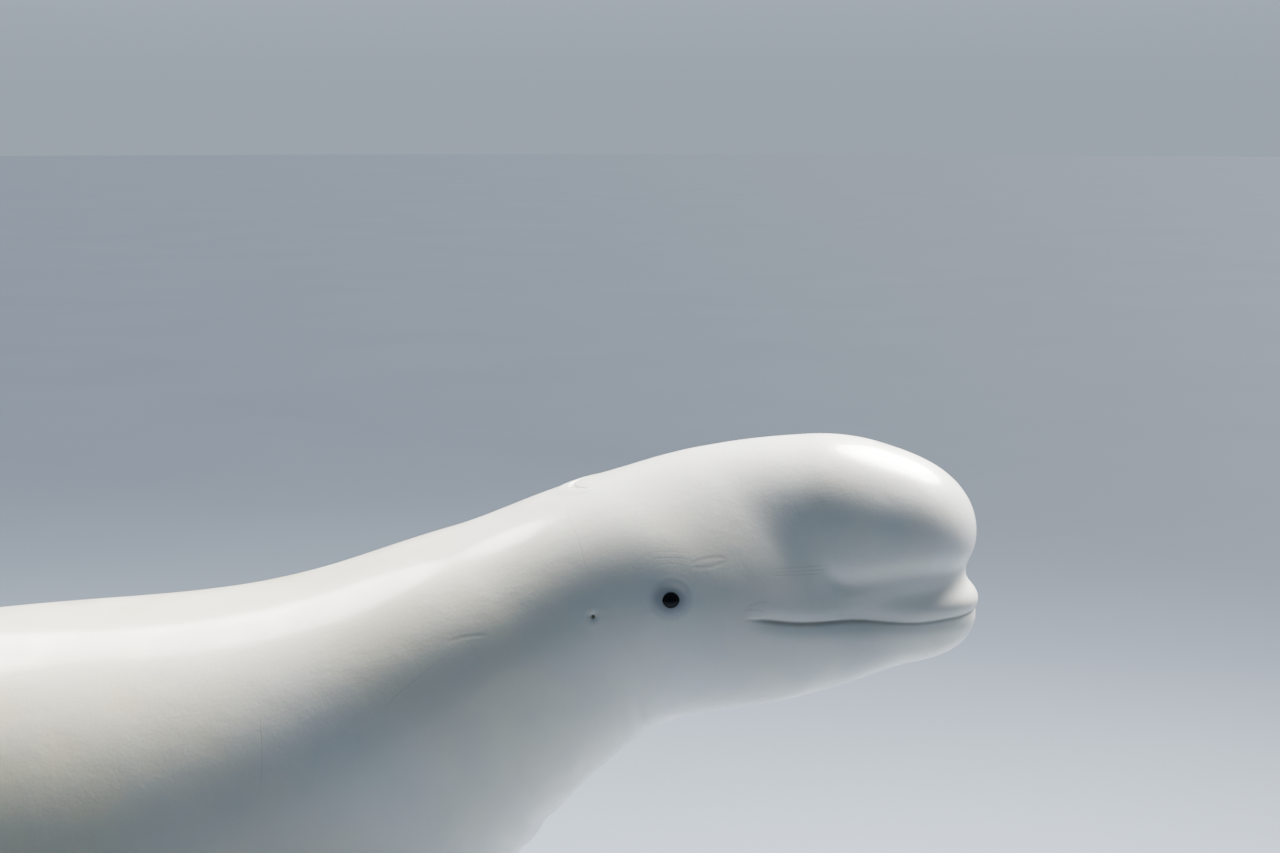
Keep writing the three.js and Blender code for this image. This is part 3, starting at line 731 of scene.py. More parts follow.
def finSection(thickness, perFace=28):
    # A fin's section: places from its leading edge, 0, to its trailing edge, 1, and half its thickness there
    turn = np.arange(2 * perFace) / perFace
    upper = turn < 1
    share = np.where(upper, turn, 2 - turn)
    chord = (1 - np.cos(math.pi * share)) / 2
    foil = 1.48 * np.sqrt(chord) - 0.63 * chord - 0.85 * chord**2
    closing = np.clip(np.sqrt(np.maximum(0, 1 - chord) / 0.04), 0, 1)
    half = np.maximum(finEdge / 2, thickness * foil) * closing
    return chord, np.where(upper, half, -half)


def finShares(start, count, crowding=1.45):
    # Places of a fin's rings from its start to its tip, closer towards the tip
    return start + (1 - start) * (1 - (1 - np.arange(count + 1) / count) ** crowding)


def edgeWave(share):  # slight unevenness of a trailing edge
    return 0.012 * np.sin(share * 23) + 0.008 * np.sin(share * 41 + 1) + 0.004 * np.sin(share * 87 + 2)


def narrowed(fin, share, tip=0.998):
    # What a fin keeps of its breadth on the way to its rounded tip, where a little of it is left
    return math.sqrt(1 - (tip * max(0, share)) ** fin["tipSharpness"])


def readColumns(table, at):
    return {key: float(readOutline(table, key, at)) for key in table if key != "at"}


def flipperRings(side):
    toSide = np.array([1, side, 1])
    outward, sweep, front = (np.array(flipper[key]) * toSide for key in ("outward", "sweep", "face"))
    root = skinPoint((flipper["behind"], 0, flipper["up"] - mouthLevel(flipper["behind"])), (0, side, 0))
    length, size = flipper["length"], flipper["halfRoot"]
    rings = []
    for share in finShares(flipperOutline["at"][0], flipper["rings"]):
        read = readColumns(flipperOutline, share)
        narrow = narrowed(flipper, share)
        along = unit(outward + sweep * 2 * share)
        face = unit(front - along * np.dot(front, along))
        back = np.cross(along, face) * side
        middle = root + outward * share * length + sweep * share * abs(share) * length
        middle = middle + face * flipper["curl"] * max(0, share) ** 3 + back * read["middle"] * size
        chord, rise = finSection(read["thickness"] * flipper["thickness"] * narrow)
        trace = np.cos(2 * math.pi * (chord * flipper["digitCount"] - 0.3))
        trace = trace * smoothstep(share, *flipper["digitsStart"])
        trace = trace * (1 - smoothstep(share, *flipper["digitsEnd"]))
        rise = rise + np.sign(rise) * flipper["digits"] * trace * smoothstep(np.abs(rise), 2, 6)
        half = read["half"] * size * narrow
        reach = half * (2 * chord - 1) + half * edgeWave(share) * smoothstep(chord, 0.6, 1)
        rings.append(middle + np.outer(reach, back) + np.outer(rise, face))
    return np.array(rings)


def flukeRings():
    # Both flukes as one loft from tip to tip
    notch = fluke["notch"]
    even = np.linspace(0, 1, fluke["rings"] + 1)
    shares = 0.5 * even + 0.25 * (1 - np.cos(math.pi * even))
    rings = []
    for share in [*-shares[:0:-1], *shares]:
        out = (math.hypot(share, notch) - notch) / (math.hypot(1, notch) - notch)
        read = readColumns(flukeOutline, out)
        narrow = narrowed(fluke, out)
        chord, rise = finSection(read["thickness"] * fluke["thickness"] * narrow)
        half = read["half"] * narrow
        wave = fluke["unevenness"] * edgeWave(out * 1.3) * smoothstep(chord, 0.6, 1)
        behind = read["middle"] + half * (2 * chord - 1) + wave
        up = fluke["up"] + rise + fluke["lift"] * out * out
        rings.append(np.stack([behind, np.full(len(chord), share * fluke["span"]), up], -1))
    return np.array(rings)


def loftFaces(rings, around):
    quads = []
    for ring in range(rings - 1):
        for k in range(around):
            a, b = ring * around + k, ring * around + (k + 1) % around
            quads.append((a, b, b + around, a + around))
    return quads + [tuple(range(around)), tuple(range((rings - 1) * around, rings * around))]


@contextmanager
def editing(data):
    shape = bmesh.new()
    shape.from_mesh(data)
    yield shape
    shape.to_mesh(data)
    shape.free()


def meshObject(name, points, faces):
    # Mesh object with its faces pointing out
    data = bpy.data.meshes.new(name)
    data.from_pydata(np.asarray(points, float).tolist(), [], [tuple(map(int, face)) for face in faces])
    with editing(data) as shape:
        loose = [vertex for vertex in shape.verts if not vertex.link_faces]
        bmesh.ops.delete(shape, geom=loose, context="VERTS")
        bmesh.ops.recalc_face_normals(shape, faces=shape.faces)
    return addObject(name, data)


def pointsOf(data):
    points = np.zeros(len(data.vertices) * 3)
    data.vertices.foreach_get("co", points)
    return points.reshape(-1, 3)


def surfaceTree(data):
    return BVHTree.FromPolygons(pointsOf(data).tolist(), [face.vertices[:] for face in data.polygons])


turned = np.array([-1.0, 1.0, 1.0])  # behind becomes forward


def joinFins(skin, fins):
    # Union of the skin and its fins, with whole faces kept where nothing was cut
    for fin in fins:
        modifier = skin.modifiers.new("join", "BOOLEAN")
        modifier.operation = "UNION"
        modifier.solver = "EXACT"
        modifier.object = fin["object"]
    joined = bpy.data.meshes.new_from_object(skin.evaluated_get(bpy.context.evaluated_depsgraph_get()))
    skin.modifiers.clear()
    skin.data = joined
    for fin in fins:
        bpy.data.objects.remove(fin["object"])


def makeFins():
    lofts = [("flipper", flipperRings(side), np.linspace(0, 1, flipper["rings"] + 1)) for side in (-1, 1)]
    lofts.append(("fluke", flukeRings(), np.abs(np.linspace(-1, 1, 2 * fluke["rings"] + 1))))
    fins = []
    for kind, rings, along in lofts:
        around, points = rings.shape[1], rings.reshape(-1, 3)
        piece = meshObject(kind, points * turned, loftFaces(len(rings), around))
        fin = {"kind": kind, "object": piece, "tree": surfaceTree(piece.data), "points": points}
        fins.append(fin | {"along": along, "around": around})
    return fins


def besideFin(fin, points, margin):
    # Which points lie in the box of a fin, grown by a margin
    low, high = fin["points"].min(0) - margin, fin["points"].max(0) + margin
    return np.nonzero(((points > low) & (points < high)).all(1))[0]


def finDistance(fin, points):
    # Distance from a fin, its direction and the nearest face of each point
    distance, slope, face = np.zeros(len(points)), np.zeros((len(points), 3)), np.zeros(len(points), int)
    for k, point in enumerate(points * turned):
        near, normal, index, away = fin["tree"].find_nearest(Vector(point))
        toPoint = Vector(point) - near
        outside = toPoint.dot(normal) >= 0
        distance[k] = away if outside else -away
        slope[k] = normal if away < 1e-4 else (toPoint / away if outside else -toPoint / away)
        face[k] = index
    return distance, slope * turned, face


roots = {  # where the fins meet the body, in millimetres
    "fillet": {"flipper": 46, "fluke": 34},
    "rounds": 16,
    "growing": 0.6,  # share of the rounds in which a fillet grows to its width
    "relaxing": 0.5,  # how far a point moves to the middle of its neighbours in a round
    "marked": 0.7,  # share of the width in which folds are eased afterwards
    "cut": 0.2,  # how near the body's surface a point of the cut lies
    "mergeWithin": 0.5,
    "sliver": 0.02,
    "steep": 85,  # degrees between faces that count as folded
    "easedRings": 3,  # of points round a fold
    "easedRounds": 24,
}


def tidyJoint(skin):
    # Drops slivers that the union left along the cut, where the fins meet the body
    with editing(skin.data) as shape:
        bmesh.ops.triangulate(shape, faces=[face for face in shape.faces if len(face.verts) > 4])
        short = [edge for edge in shape.edges if edge.calc_length() < roots["mergeWithin"]]
        near = sorted({vertex for edge in short for vertex in edge.verts}, key=lambda vertex: vertex.index)
        away = np.abs(skinDistance(np.array([vertex.co[:] for vertex in near]) * turned))
        near = [vertex for vertex, distance in zip(near, away) if distance < roots["cut"]]
        bmesh.ops.remove_doubles(shape, verts=near, dist=roots["mergeWithin"])
        bmesh.ops.dissolve_degenerate(shape, edges=shape.edges, dist=roots["sliver"])
        bmesh.ops.triangulate(shape, faces=[face for face in shape.faces if len(face.verts) > 4])


def neighboursIn(zone, ends, count):
    # Links from each point of a zone to its neighbours, and how many each has
    inZone = np.zeros(count, bool)
    inZone[zone] = True
    links = ends[inZone[ends].any(1)]
    links = np.concatenate([links, links[:, ::-1]])
    links = links[inZone[links[:, 0]]]
    return links, np.bincount(links[:, 0], minlength=count)[zone][:, None]


def softenRoots(skin, fins):
    # Melts each fin's root into the body with a fillet that grows round by round
    points = pointsOf(skin.data) * turned
    edges = np.zeros(len(skin.data.edges) * 2, int)
    skin.data.edges.foreach_get("vertices", edges)
    ends = edges.reshape(-1, 2)
    rooted = np.zeros(len(points), bool)
    for fin in fins:
        width = roots["fillet"][fin["kind"]]
        close = besideFin(fin, points, width)
        body = skinDistance(points[close])
        away = finDistance(fin, points[close])[0]
        zone = close[(np.abs(body) < width) & (np.abs(away) < width)]
        links, degree = neighboursIn(zone, ends, len(points))
        slope = np.zeros((len(zone), 3))
        for turn in range(roots["rounds"]):
            soft = width * min(1, (turn + 1) / (roots["growing"] * roots["rounds"]))
            total = np.zeros_like(points)
            np.add.at(total, links[:, 0], points[links[:, 1]])
            pull = total[zone] / degree - points[zone]
            pull -= (pull * slope).sum(1)[:, None] * slope
            moved = points[zone] + (roots["relaxing"] * pull if turn else 0)
            body = skinDistance(moved)
            away, finSlope = finDistance(fin, moved)[:2]
            near = np.maximum(soft - np.abs(body - away), 0) / soft / 2
            bodyPart = np.where(body < away, 1 - near, near)[:, None]
            slope = bodyPart * slopeOf(skinDistance, moved) + (1 - bodyPart) * finSlope
            gap = melt(body, away, soft)[:, None]
            points[zone] = moved - gap * slope / np.maximum((slope * slope).sum(1), 0.3)[:, None]
            slope = unit(slope)
        rooted[zone] = np.abs(body) < roots["marked"] * width
        print("fillet of a", fin["kind"], "over", len(zone), "points")
    skin.data.vertices.foreach_set("co", (points * turned).ravel())
    return rooted


def easeFolds(skin, rooted):
    # Smooths the few faces that a fillet folded over where a thin edge meets the body
    steep = math.radians(roots["steep"])
    axes = {"use_axis_x": True, "use_axis_y": True, "use_axis_z": True}
    with editing(skin.data) as shape:
        shape.verts.ensure_lookup_table()
        folded = [edge for edge in shape.edges if edge.calc_face_angle(0) > steep]
        around = {vertex.index for edge in folded for vertex in edge.verts if rooted[vertex.index]}
        for _ in range(roots["easedRings"]):
            edges = {edge for k in around for edge in shape.verts[k].link_edges}
            around |= {vertex.index for edge in edges for vertex in edge.verts if rooted[vertex.index]}
        chosen = [shape.verts[k] for k in sorted(around)]
        for _ in range(roots["easedRounds"]):
            bmesh.ops.smooth_vert(shape, verts=chosen, factor=0.5, **axes)
    print("folds eased at", len(chosen), "points")


# The pose: the spine's pitch in degrees, nose up, from the snout to the tail

pose = {
    "at": (0, 260, 600, 720, 860, 1000, 1600, 2300, 2950, 3500),
    "pitch": (-1.5, 0, 24.5, 23.5, 18, 15, 9, 3, -3, -8),
    "snoutForward": 1450,
    "snoutHeight": 1010,
    "start": -100,
    "end": 3700,
    "step": 5,
}


def posed(points):
    # Straight points carried to their places in the pose, in metres
    behind = np.arange(pose["start"], pose["end"], pose["step"])
    startPitch = math.radians(float(readOutline(pose, "pitch", pose["start"])))
    pitch = np.radians(readOutline(pose, "pitch", behind + pose["step"] / 2))
    walked = np.stack([np.cos(pitch), np.sin(pitch)], -1)[:-1] * pose["step"]
    walked = np.concatenate([[[0, 0]], np.cumsum(walked, 0)])
    forward = pose["snoutForward"] - pose["start"] * math.cos(startPitch) - walked[:, 0]
    height = pose["snoutHeight"] - pose["start"] * math.sin(startPitch) - walked[:, 1]
    here = np.radians(readOutline(pose, "pitch", points[:, 0]))
    x = np.interp(points[:, 0], behind, forward) - points[:, 2] * np.sin(here)
    z = np.interp(points[:, 0], behind, height) + points[:, 2] * np.cos(here)
    return np.stack([x, points[:, 1], z], -1) * mm


def addAttribute(data, name, values):
    kind, field = ("FLOAT", "value") if values.ndim == 1 else ("FLOAT_VECTOR", "vector")
    layer = data.attributes.new(name, kind, "POINT")
    layer.data.foreach_set(field, np.ascontiguousarray(values, np.float32).ravel())


finGrey = {  # shares of a fin's breadth and length over which its edges turn grey
    "rear": (0.8, 1),
    "front": (0, 0.05),
    "frontShare": 0.5,
    "starts": (0.2, 0.6),
    "tip": (0.9, 1),
    "near": (2, 6),  # millimetres from the fin's surface
}


def finTint(fins, points):
    # How grey the edges of the fins are
    tint = np.zeros(len(points))
    for fin in fins:
        close = besideFin(fin, points, 5)
        away = finDistance(fin, points[close])
        ring, column = np.divmod(away[2], fin["around"])
        perFace = fin["around"] / 2
        share = np.minimum(column + 0.5, fin["around"] - column - 0.5) / perFace
        chord = (1 - np.cos(math.pi * share)) / 2
        along = fin["along"][np.minimum(ring, len(fin["along"]) - 1)]
        edge = smoothstep(chord, *finGrey["rear"])
        edge = edge + finGrey["frontShare"] * (1 - smoothstep(chord, *finGrey["front"]))
        edge = np.maximum(edge * smoothstep(along, *finGrey["starts"]), smoothstep(along, *finGrey["tip"]))
        edge = np.clip(edge, 0, 1) * (1 - smoothstep(np.abs(away[0]), *finGrey["near"]))
        tint[close] = np.maximum(tint[close], edge)
    return tint


def distanceTo(places, points):
    return np.min([np.linalg.norm(points - place, axis=1) for place in places], 0)


# Painted shade in the grooves of the lips, the melon's crease, the navel and the vent, darker the deeper they
# are
creaseShade = {"melonShare": 0.4, "from": 0.8, "over": 7}  # depth in a crease where it starts and grows full


def markSkin(data, points, fins, eyes, ears):
    # Attributes that the skin's finish reads
    behind, left, up = points.T
    # painted shade: the deeper a groove of the lips, melon or belly, the darker the skin's colour there
    shadedRelief = lipRelief(behind, up) + creaseShade["melonShare"] * melonRelief(behind, up)
    shadedRelief = shadedRelief + bellyRelief(behind, left, up)
    addAttribute(data, "straight", points * mm)
    addAttribute(data, "crease", np.clip((-shadedRelief - creaseShade["from"]) / creaseShade["over"], 0, 1))
    addAttribute(data, "finEdge", finTint(fins, points))
    addAttribute(data, "nearEye", distanceTo([socket["at"] for socket in eyes.values()], points) * mm)
    addAttribute(data, "nearEar", distanceTo(ears, points) * mm)


def makeSkin():
    mesh = skinMesh()
    print("grid of the skin:", len(mesh["quads"]), "quads")
    eyes = {side: addEyeSocket(mesh, side) for side in (-1, 1)}
    ears = [addEar(mesh, side) for side in (-1, 1)]
    addBlowhole(mesh)
    print("eyes, ears and blowhole opened")
    skin = meshObject("skin", mesh["points"] * turned, [*mesh["quads"], *mesh["triangles"]])
    fins = makeFins()
    joinFins(skin, fins)
    tidyJoint(skin)
    easeFolds(skin, softenRoots(skin, fins))
    data = skin.data
    points = pointsOf(data) * turned
    print("fins joined:", len(data.polygons), "faces")
    markSkin(data, points, fins, eyes, ears)
    data.vertices.foreach_set("co", posed(points).ravel())
    data.update()
    if volumeOf(data) < 0:
        data.flip_normals()
    data.shade_smooth()
    return skin, eyes


def volumeOf(data):
    shape = bmesh.new()
    shape.from_mesh(data)
    volume = shape.calc_volume(signed=True)
    shape.free()
    return volume


skin, eyes = makeSkin()
print("skin made")


# Eyeballs

eyeSet = {"around": 64, "rows": 40}


def makeEyeball(name, centre, out):
    # Sphere whose pole looks out of the head
    up = unit(np.array([0, 0, 1.0]) - out * out[2])
    along = np.cross(up, out)
    points, faces = [centre + eye["ball"] * out], []
    for row in range(1, eyeSet["rows"]):
        tilt = math.pi * row / eyeSet["rows"]
        for k in range(eyeSet["around"]):
            turn = 2 * math.pi * k / eyeSet["around"]
            way = math.cos(tilt) * out + math.sin(tilt) * (math.cos(turn) * along + math.sin(turn) * up)
            points.append(centre + eye["ball"] * way)
    points.append(centre - eye["ball"] * out)
    count = eyeSet["around"]
    for k in range(count):
        after = (k + 1) % count
        faces.append((0, 1 + k, 1 + after))
        for row in range(eyeSet["rows"] - 2):
            a, b = 1 + row * count + k, 1 + row * count + after
            faces.append((a, b, b + count, a + count))
        last = 1 + (eyeSet["rows"] - 2) * count
        faces.append((len(points) - 1, last + k, last + after))
    points = np.array(points)
    piece = meshObject(name, posed(points), faces)
    addAttribute(piece.data, "gaze", (points - centre) @ out / eye["ball"])
    piece.data.shade_smooth()
    return piece


eyeballs = {
    "eye_right": makeEyeball("eyeball_right", eyes[-1]["centre"], eyes[-1]["out"]),
    "eye_left": makeEyeball("eyeball_left", eyes[1]["centre"], eyes[1]["out"]),
}
print("eyes made")


# Shader helpers


def addNode(tree, kind, inputs=None, **settings):
    node = tree.nodes.new(kind)
    for key, value in settings.items():
        setattr(node, key, value)
    for name, value in (inputs or {}).items():
        if isinstance(value, bpy.types.NodeSocket):
            tree.links.new(value, node.inputs[name])
        else:
            node.inputs[name].default_value = value
    return node


def addNoise(tree, vector, scale, detail, **more):
    inputs = {"Vector": vector, "Scale": scale, "Detail": detail, **more}
    return addNode(tree, "ShaderNodeTexNoise", inputs).outputs


def readAttribute(tree, name, output="Fac"):
    return addNode(tree, "ShaderNodeAttribute", attribute_name=name).outputs[output]


def coordinates(tree, kind="Object"):
    return addNode(tree, "ShaderNodeTexCoord").outputs[kind]


def splitVector(tree, vector):
    return addNode(tree, "ShaderNodeSeparateXYZ", {0: vector}).outputs


def vectorMath(tree, operation, a, b=None, output="Vector"):
    inputs = {0: a} if b is None else {0: a, 1: b}
    return addNode(tree, "ShaderNodeVectorMath", inputs, operation=operation).outputs[output]


def newGroup(name, inputs, output):
    # Shader group with named inputs, from a dictionary of defaults, and one output
    group = bpy.data.node_groups.new(name, "ShaderNodeTree")
    group.interface.new_socket("Vector", in_out="INPUT", socket_type="NodeSocketVector")
    for label, default in inputs.items():
        socket = group.interface.new_socket(label, in_out="INPUT", socket_type="NodeSocketFloat")
        socket.default_value = default
    group.interface.new_socket(output, in_out="OUTPUT", socket_type="NodeSocketFloat")
    return group, addNode(group, "NodeGroupInput").outputs, addNode(group, "NodeGroupOutput").inputs


def calculate(tree, operation, a, b=0.5):
    return addNode(tree, "ShaderNodeMath", {0: a, 1: b}, operation=operation).outputs[0]


def remap(tree, value, low, high, newLow=0.0, newHigh=1.0):
    inputs = {"Value": value, "From Min": low, "From Max": high, "To Min": newLow, "To Max": newHigh}
    return addNode(tree, "ShaderNodeMapRange", inputs, interpolation_type="SMOOTHSTEP").outputs[0]


def blendColours(tree, factor, a, b):
    node = addNode(tree, "ShaderNodeMix", data_type="RGBA")
    for socket, value in ((node.inputs[0], factor), (node.inputs[6], a), (node.inputs[7], b)):
        if isinstance(value, bpy.types.NodeSocket):
            tree.links.new(value, socket)
        else:
            socket.default_value = (*value, 1) if isinstance(value, tuple) else value
    return node.outputs[2]


def mottlingGroup():
    # Soft patches
    group, given, out = newGroup("mottling", {"Scale": 5, "Softness": 0.18}, "Mask")
    noise = addNoise(group, given["Vector"], given["Scale"], 5)
    low = calculate(group, "SUBTRACT", 0.5, given["Softness"])
    high = calculate(group, "ADD", 0.5, given["Softness"])
    group.links.new(remap(group, noise["Fac"], low, high), out["Mask"])
    return group


def grainGroup():
    # Fine uneven grain, as a height
    group, given, out = newGroup("grain", {"Scale": 400, "Cells": 0.5}, "Height")
    noise = addNoise(group, given["Vector"], given["Scale"], 6)
    inputs = {"Vector": given["Vector"], "Scale": calculate(group, "MULTIPLY", given["Scale"], 0.6)}
    cells = addNode(group, "ShaderNodeTexVoronoi", inputs, feature="SMOOTH_F1")
    cellPart = calculate(group, "MULTIPLY", cells.outputs["Distance"], given["Cells"])
    group.links.new(calculate(group, "ADD", noise["Fac"], cellPart), out["Height"])
    return group


def scratchesGroup():
    # Single thin lines, each where a random plane meets the surface near the middle of a cell, as a mask
    sizes = {"Cells": 4, "Width": 0.0008, "Reach": 0.08, "Share": 0.5}
    group, given, out = newGroup("scratches", sizes, "Mask")
    wobble = {0: addNoise(group, given["Vector"], 16.0, 1)["Color"], "Scale": 0.012}
    wobble = addNode(group, "ShaderNodeVectorMath", wobble, operation="SCALE").outputs["Vector"]
    place = vectorMath(group, "ADD", given["Vector"], wobble)
    cells = addNode(group, "ShaderNodeTexVoronoi", {"Vector": place, "Scale": given["Cells"]}).outputs
    local = vectorMath(group, "SUBTRACT", place, cells["Position"])
    tilt = vectorMath(group, "NORMALIZE", vectorMath(group, "SUBTRACT", cells["Color"], (0.5, 0.5, 0.5)))
    offset = vectorMath(group, "DOT_PRODUCT", local, tilt, output="Value")
    away = vectorMath(group, "LENGTH", local, output="Value")
    line = remap(group, calculate(group, "ABSOLUTE", offset), 0.0, given["Width"], 1.0, 0.0)
    ends = remap(group, calculate(group, "DIVIDE", away, given["Reach"]), 0.5, 1.0, 1.0, 0.0)
    chance = addNode(group, "ShaderNodeTexWhiteNoise", {"Vector": cells["Position"]}).outputs["Value"]
    shown = calculate(group, "LESS_THAN", chance, given["Share"])
    line = calculate(group, "MULTIPLY", line, ends)
    group.links.new(calculate(group, "MULTIPLY", line, shown), out["Mask"])
    return group


def foldGroup():
    # One shallow crease in the plane of behind and up, or a lens of two, as a mask
    sizes = {"Behind": 0.2, "Up": 0.05, "Turn": 0, "Length": 0.04, "Bow": 0, "Lens": 0, "Width": 0.002}
    group, given, out = newGroup("foldLine", sizes, "Mask")
    place = splitVector(group, given["Vector"])
    behind = calculate(group, "SUBTRACT", place[0], given["Behind"])
    up = calculate(group, "SUBTRACT", place[2], given["Up"])
    flat = addNode(group, "ShaderNodeCombineXYZ", {"X": behind, "Y": up}).outputs[0]
    spun = {"Vector": flat, "Angle": given["Turn"]}
    spun = addNode(group, "ShaderNodeVectorRotate", spun, rotation_type="Z_AXIS").outputs[0]
    along, across = splitVector(group, spun)[:2]
    share = calculate(group, "DIVIDE", along, calculate(group, "MULTIPLY", given["Length"], 0.5))
    arch = calculate(group, "SUBTRACT", 1.0, calculate(group, "MULTIPLY", share, share))
    bowed = calculate(group, "SUBTRACT", across, calculate(group, "MULTIPLY", arch, given["Bow"]))
    lens = calculate(group, "MULTIPLY", arch, given["Lens"])
    opened = calculate(group, "SUBTRACT", calculate(group, "ABSOLUTE", bowed), lens)
    line = remap(group, calculate(group, "ABSOLUTE", opened), 0.0, given["Width"], 1.0, 0.0)
    ends = remap(group, calculate(group, "ABSOLUTE", share), 0.55, 1.0, 1.0, 0.0)
    group.links.new(calculate(group, "MULTIPLY", line, ends), out["Mask"])
    return group


groups = {
    "mottling": mottlingGroup(),
    "grain": grainGroup(),
    "scratches": scratchesGroup(),
    "foldLine": foldGroup(),
}


def useGroup(tree, name, vector, **inputs):
    node = addNode(tree, "ShaderNodeGroup", node_tree=groups[name])
    tree.links.new(vector, node.inputs["Vector"])
    for label, value in inputs.items():
        node.inputs[label].default_value = value
    return node.outputs[0]


def newMaterial(name, **surface):
    # Material with one Principled shader, its plain sockets set from keywords
    material = bpy.data.materials.new(name)
    material.use_nodes = True
    tree = material.node_tree
    shader = tree.nodes["Principled BSDF"]
    for label, value in surface.items():
        shader.inputs[label].default_value = value
    return material, tree, shader


def linkBump(tree, shader, height, distance, strength=1.0):
    node = addNode(tree, "ShaderNodeBump", {"Height": height, "Distance": distance, "Strength": strength})
    tree.links.new(node.outputs[0], shader.inputs["Normal"])


# Skin

skinFinish = {
    "white": (0.88, 0.88, 0.87),
    "ivory": (0.86, 0.81, 0.64),
    "grey": (0.68, 0.70, 0.71),
    # scarAndShade: grey of the scratches, and of a faint painted shade round the eye
    "scarAndShade": (0.60, 0.60, 0.58),
    # crease: colour of the painted shade in creases and in the mouth's slit
    "crease": (0.27, 0.255, 0.19),
    "fin": (0.33, 0.32, 0.30),
    "eyeRim": (0.05, 0.05, 0.055),
    # eyeShade: colour of the painted shadow round the eye
    "eyeShade": (0.22, 0.24, 0.27),
    "roughness": (0.30, 0.46),
    "coat": 0.5,
    "coatRoughness": 0.14,
}

# Each fine crease is a bump and a little painted shade
fineFolds = (  # creases too fine for the mesh, in metres, on both sides of the head
    {"Behind": 0.200, "Up": 0.0612, "Turn": 0.05, "Length": 0.056, "Width": 0.0014},
    {"Behind": 0.197, "Up": 0.0578, "Turn": 0.03, "Length": 0.066, "Width": 0.0016},
    {"Behind": 0.201, "Up": 0.0542, "Turn": 0.0, "Length": 0.060, "Width": 0.0014},
    {"Behind": 0.288, "Up": 0.0700, "Turn": 0.10, "Length": 0.040, "Lens": 0.004, "Width": 0.0034},
    {"Behind": 0.241, "Up": 0.0275, "Turn": 0.2, "Length": 0.026, "Bow": 0.002, "Width": 0.0020},
    {"Behind": 0.244, "Up": 0.0215, "Turn": -0.1, "Length": 0.024, "Bow": 0.002, "Width": 0.0020},
    {"Behind": 0.520, "Up": 0.0420, "Turn": -0.18, "Length": 0.044, "Bow": 0.002, "Width": 0.0030},
)

eyeFolds = {"nearest": 0.031, "furthest": 0.062, "spacing": 0.0068, "uneven": 0.012}

skinShades = (  # round an eye or ear: full up to one distance in metres, gone at the other
    # faint wide ring of painted shade round the eye, in the grey of the scratches
    {"near": "nearEye", "full": 0.014, "gone": 0.036, "share": 0.14, "colour": "scarAndShade"},
    # painted shadow round the eye
    {"near": "nearEye", "full": 0.009, "gone": 0.024, "share": 0.55, "colour": "eyeShade"},
    {"near": "nearEye", "full": 0.0072, "gone": 0.0090, "share": 0.95, "colour": "eyeRim"},
    # painted shade in the ear's hole and round its rim, in the eye rim's near black
    {"near": "nearEar", "full": 0.0012, "gone": 0.0038, "share": 0.6, "colour": "eyeRim"},
)


def eyeRings(tree, straight, nearEye):
    # Arcs of fine creases over and behind the eye
    place = splitVector(tree, straight)
    rise = calculate(tree, "SUBTRACT", place[2], eye["up"] * mm)
    back = calculate(tree, "MULTIPLY", calculate(tree, "SUBTRACT", place[0], eye["behind"] * mm), 0.75)
    side = remap(tree, calculate(tree, "ADD", rise, back), 0.012, 0.034)
    uneven = calculate(tree, "MULTIPLY", addNoise(tree, straight, 24.0, 1)["Fac"], eyeFolds["uneven"])
    reach = calculate(tree, "ADD", nearEye, uneven)
    wave = calculate(tree, "SINE", calculate(tree, "MULTIPLY", reach, 2 * math.pi / eyeFolds["spacing"]))
    line = remap(tree, wave, 0.5, 1.0)
    fadeIn = remap(tree, nearEye, eyeFolds["nearest"] - 0.006, eyeFolds["nearest"] + 0.004)
    fadeOut = remap(tree, nearEye, eyeFolds["furthest"] - 0.02, eyeFolds["furthest"], 1.0, 0.0)
    shown = calculate(tree, "MULTIPLY", calculate(tree, "MULTIPLY", fadeIn, fadeOut), side)
    return calculate(tree, "MULTIPLY", line, shown)


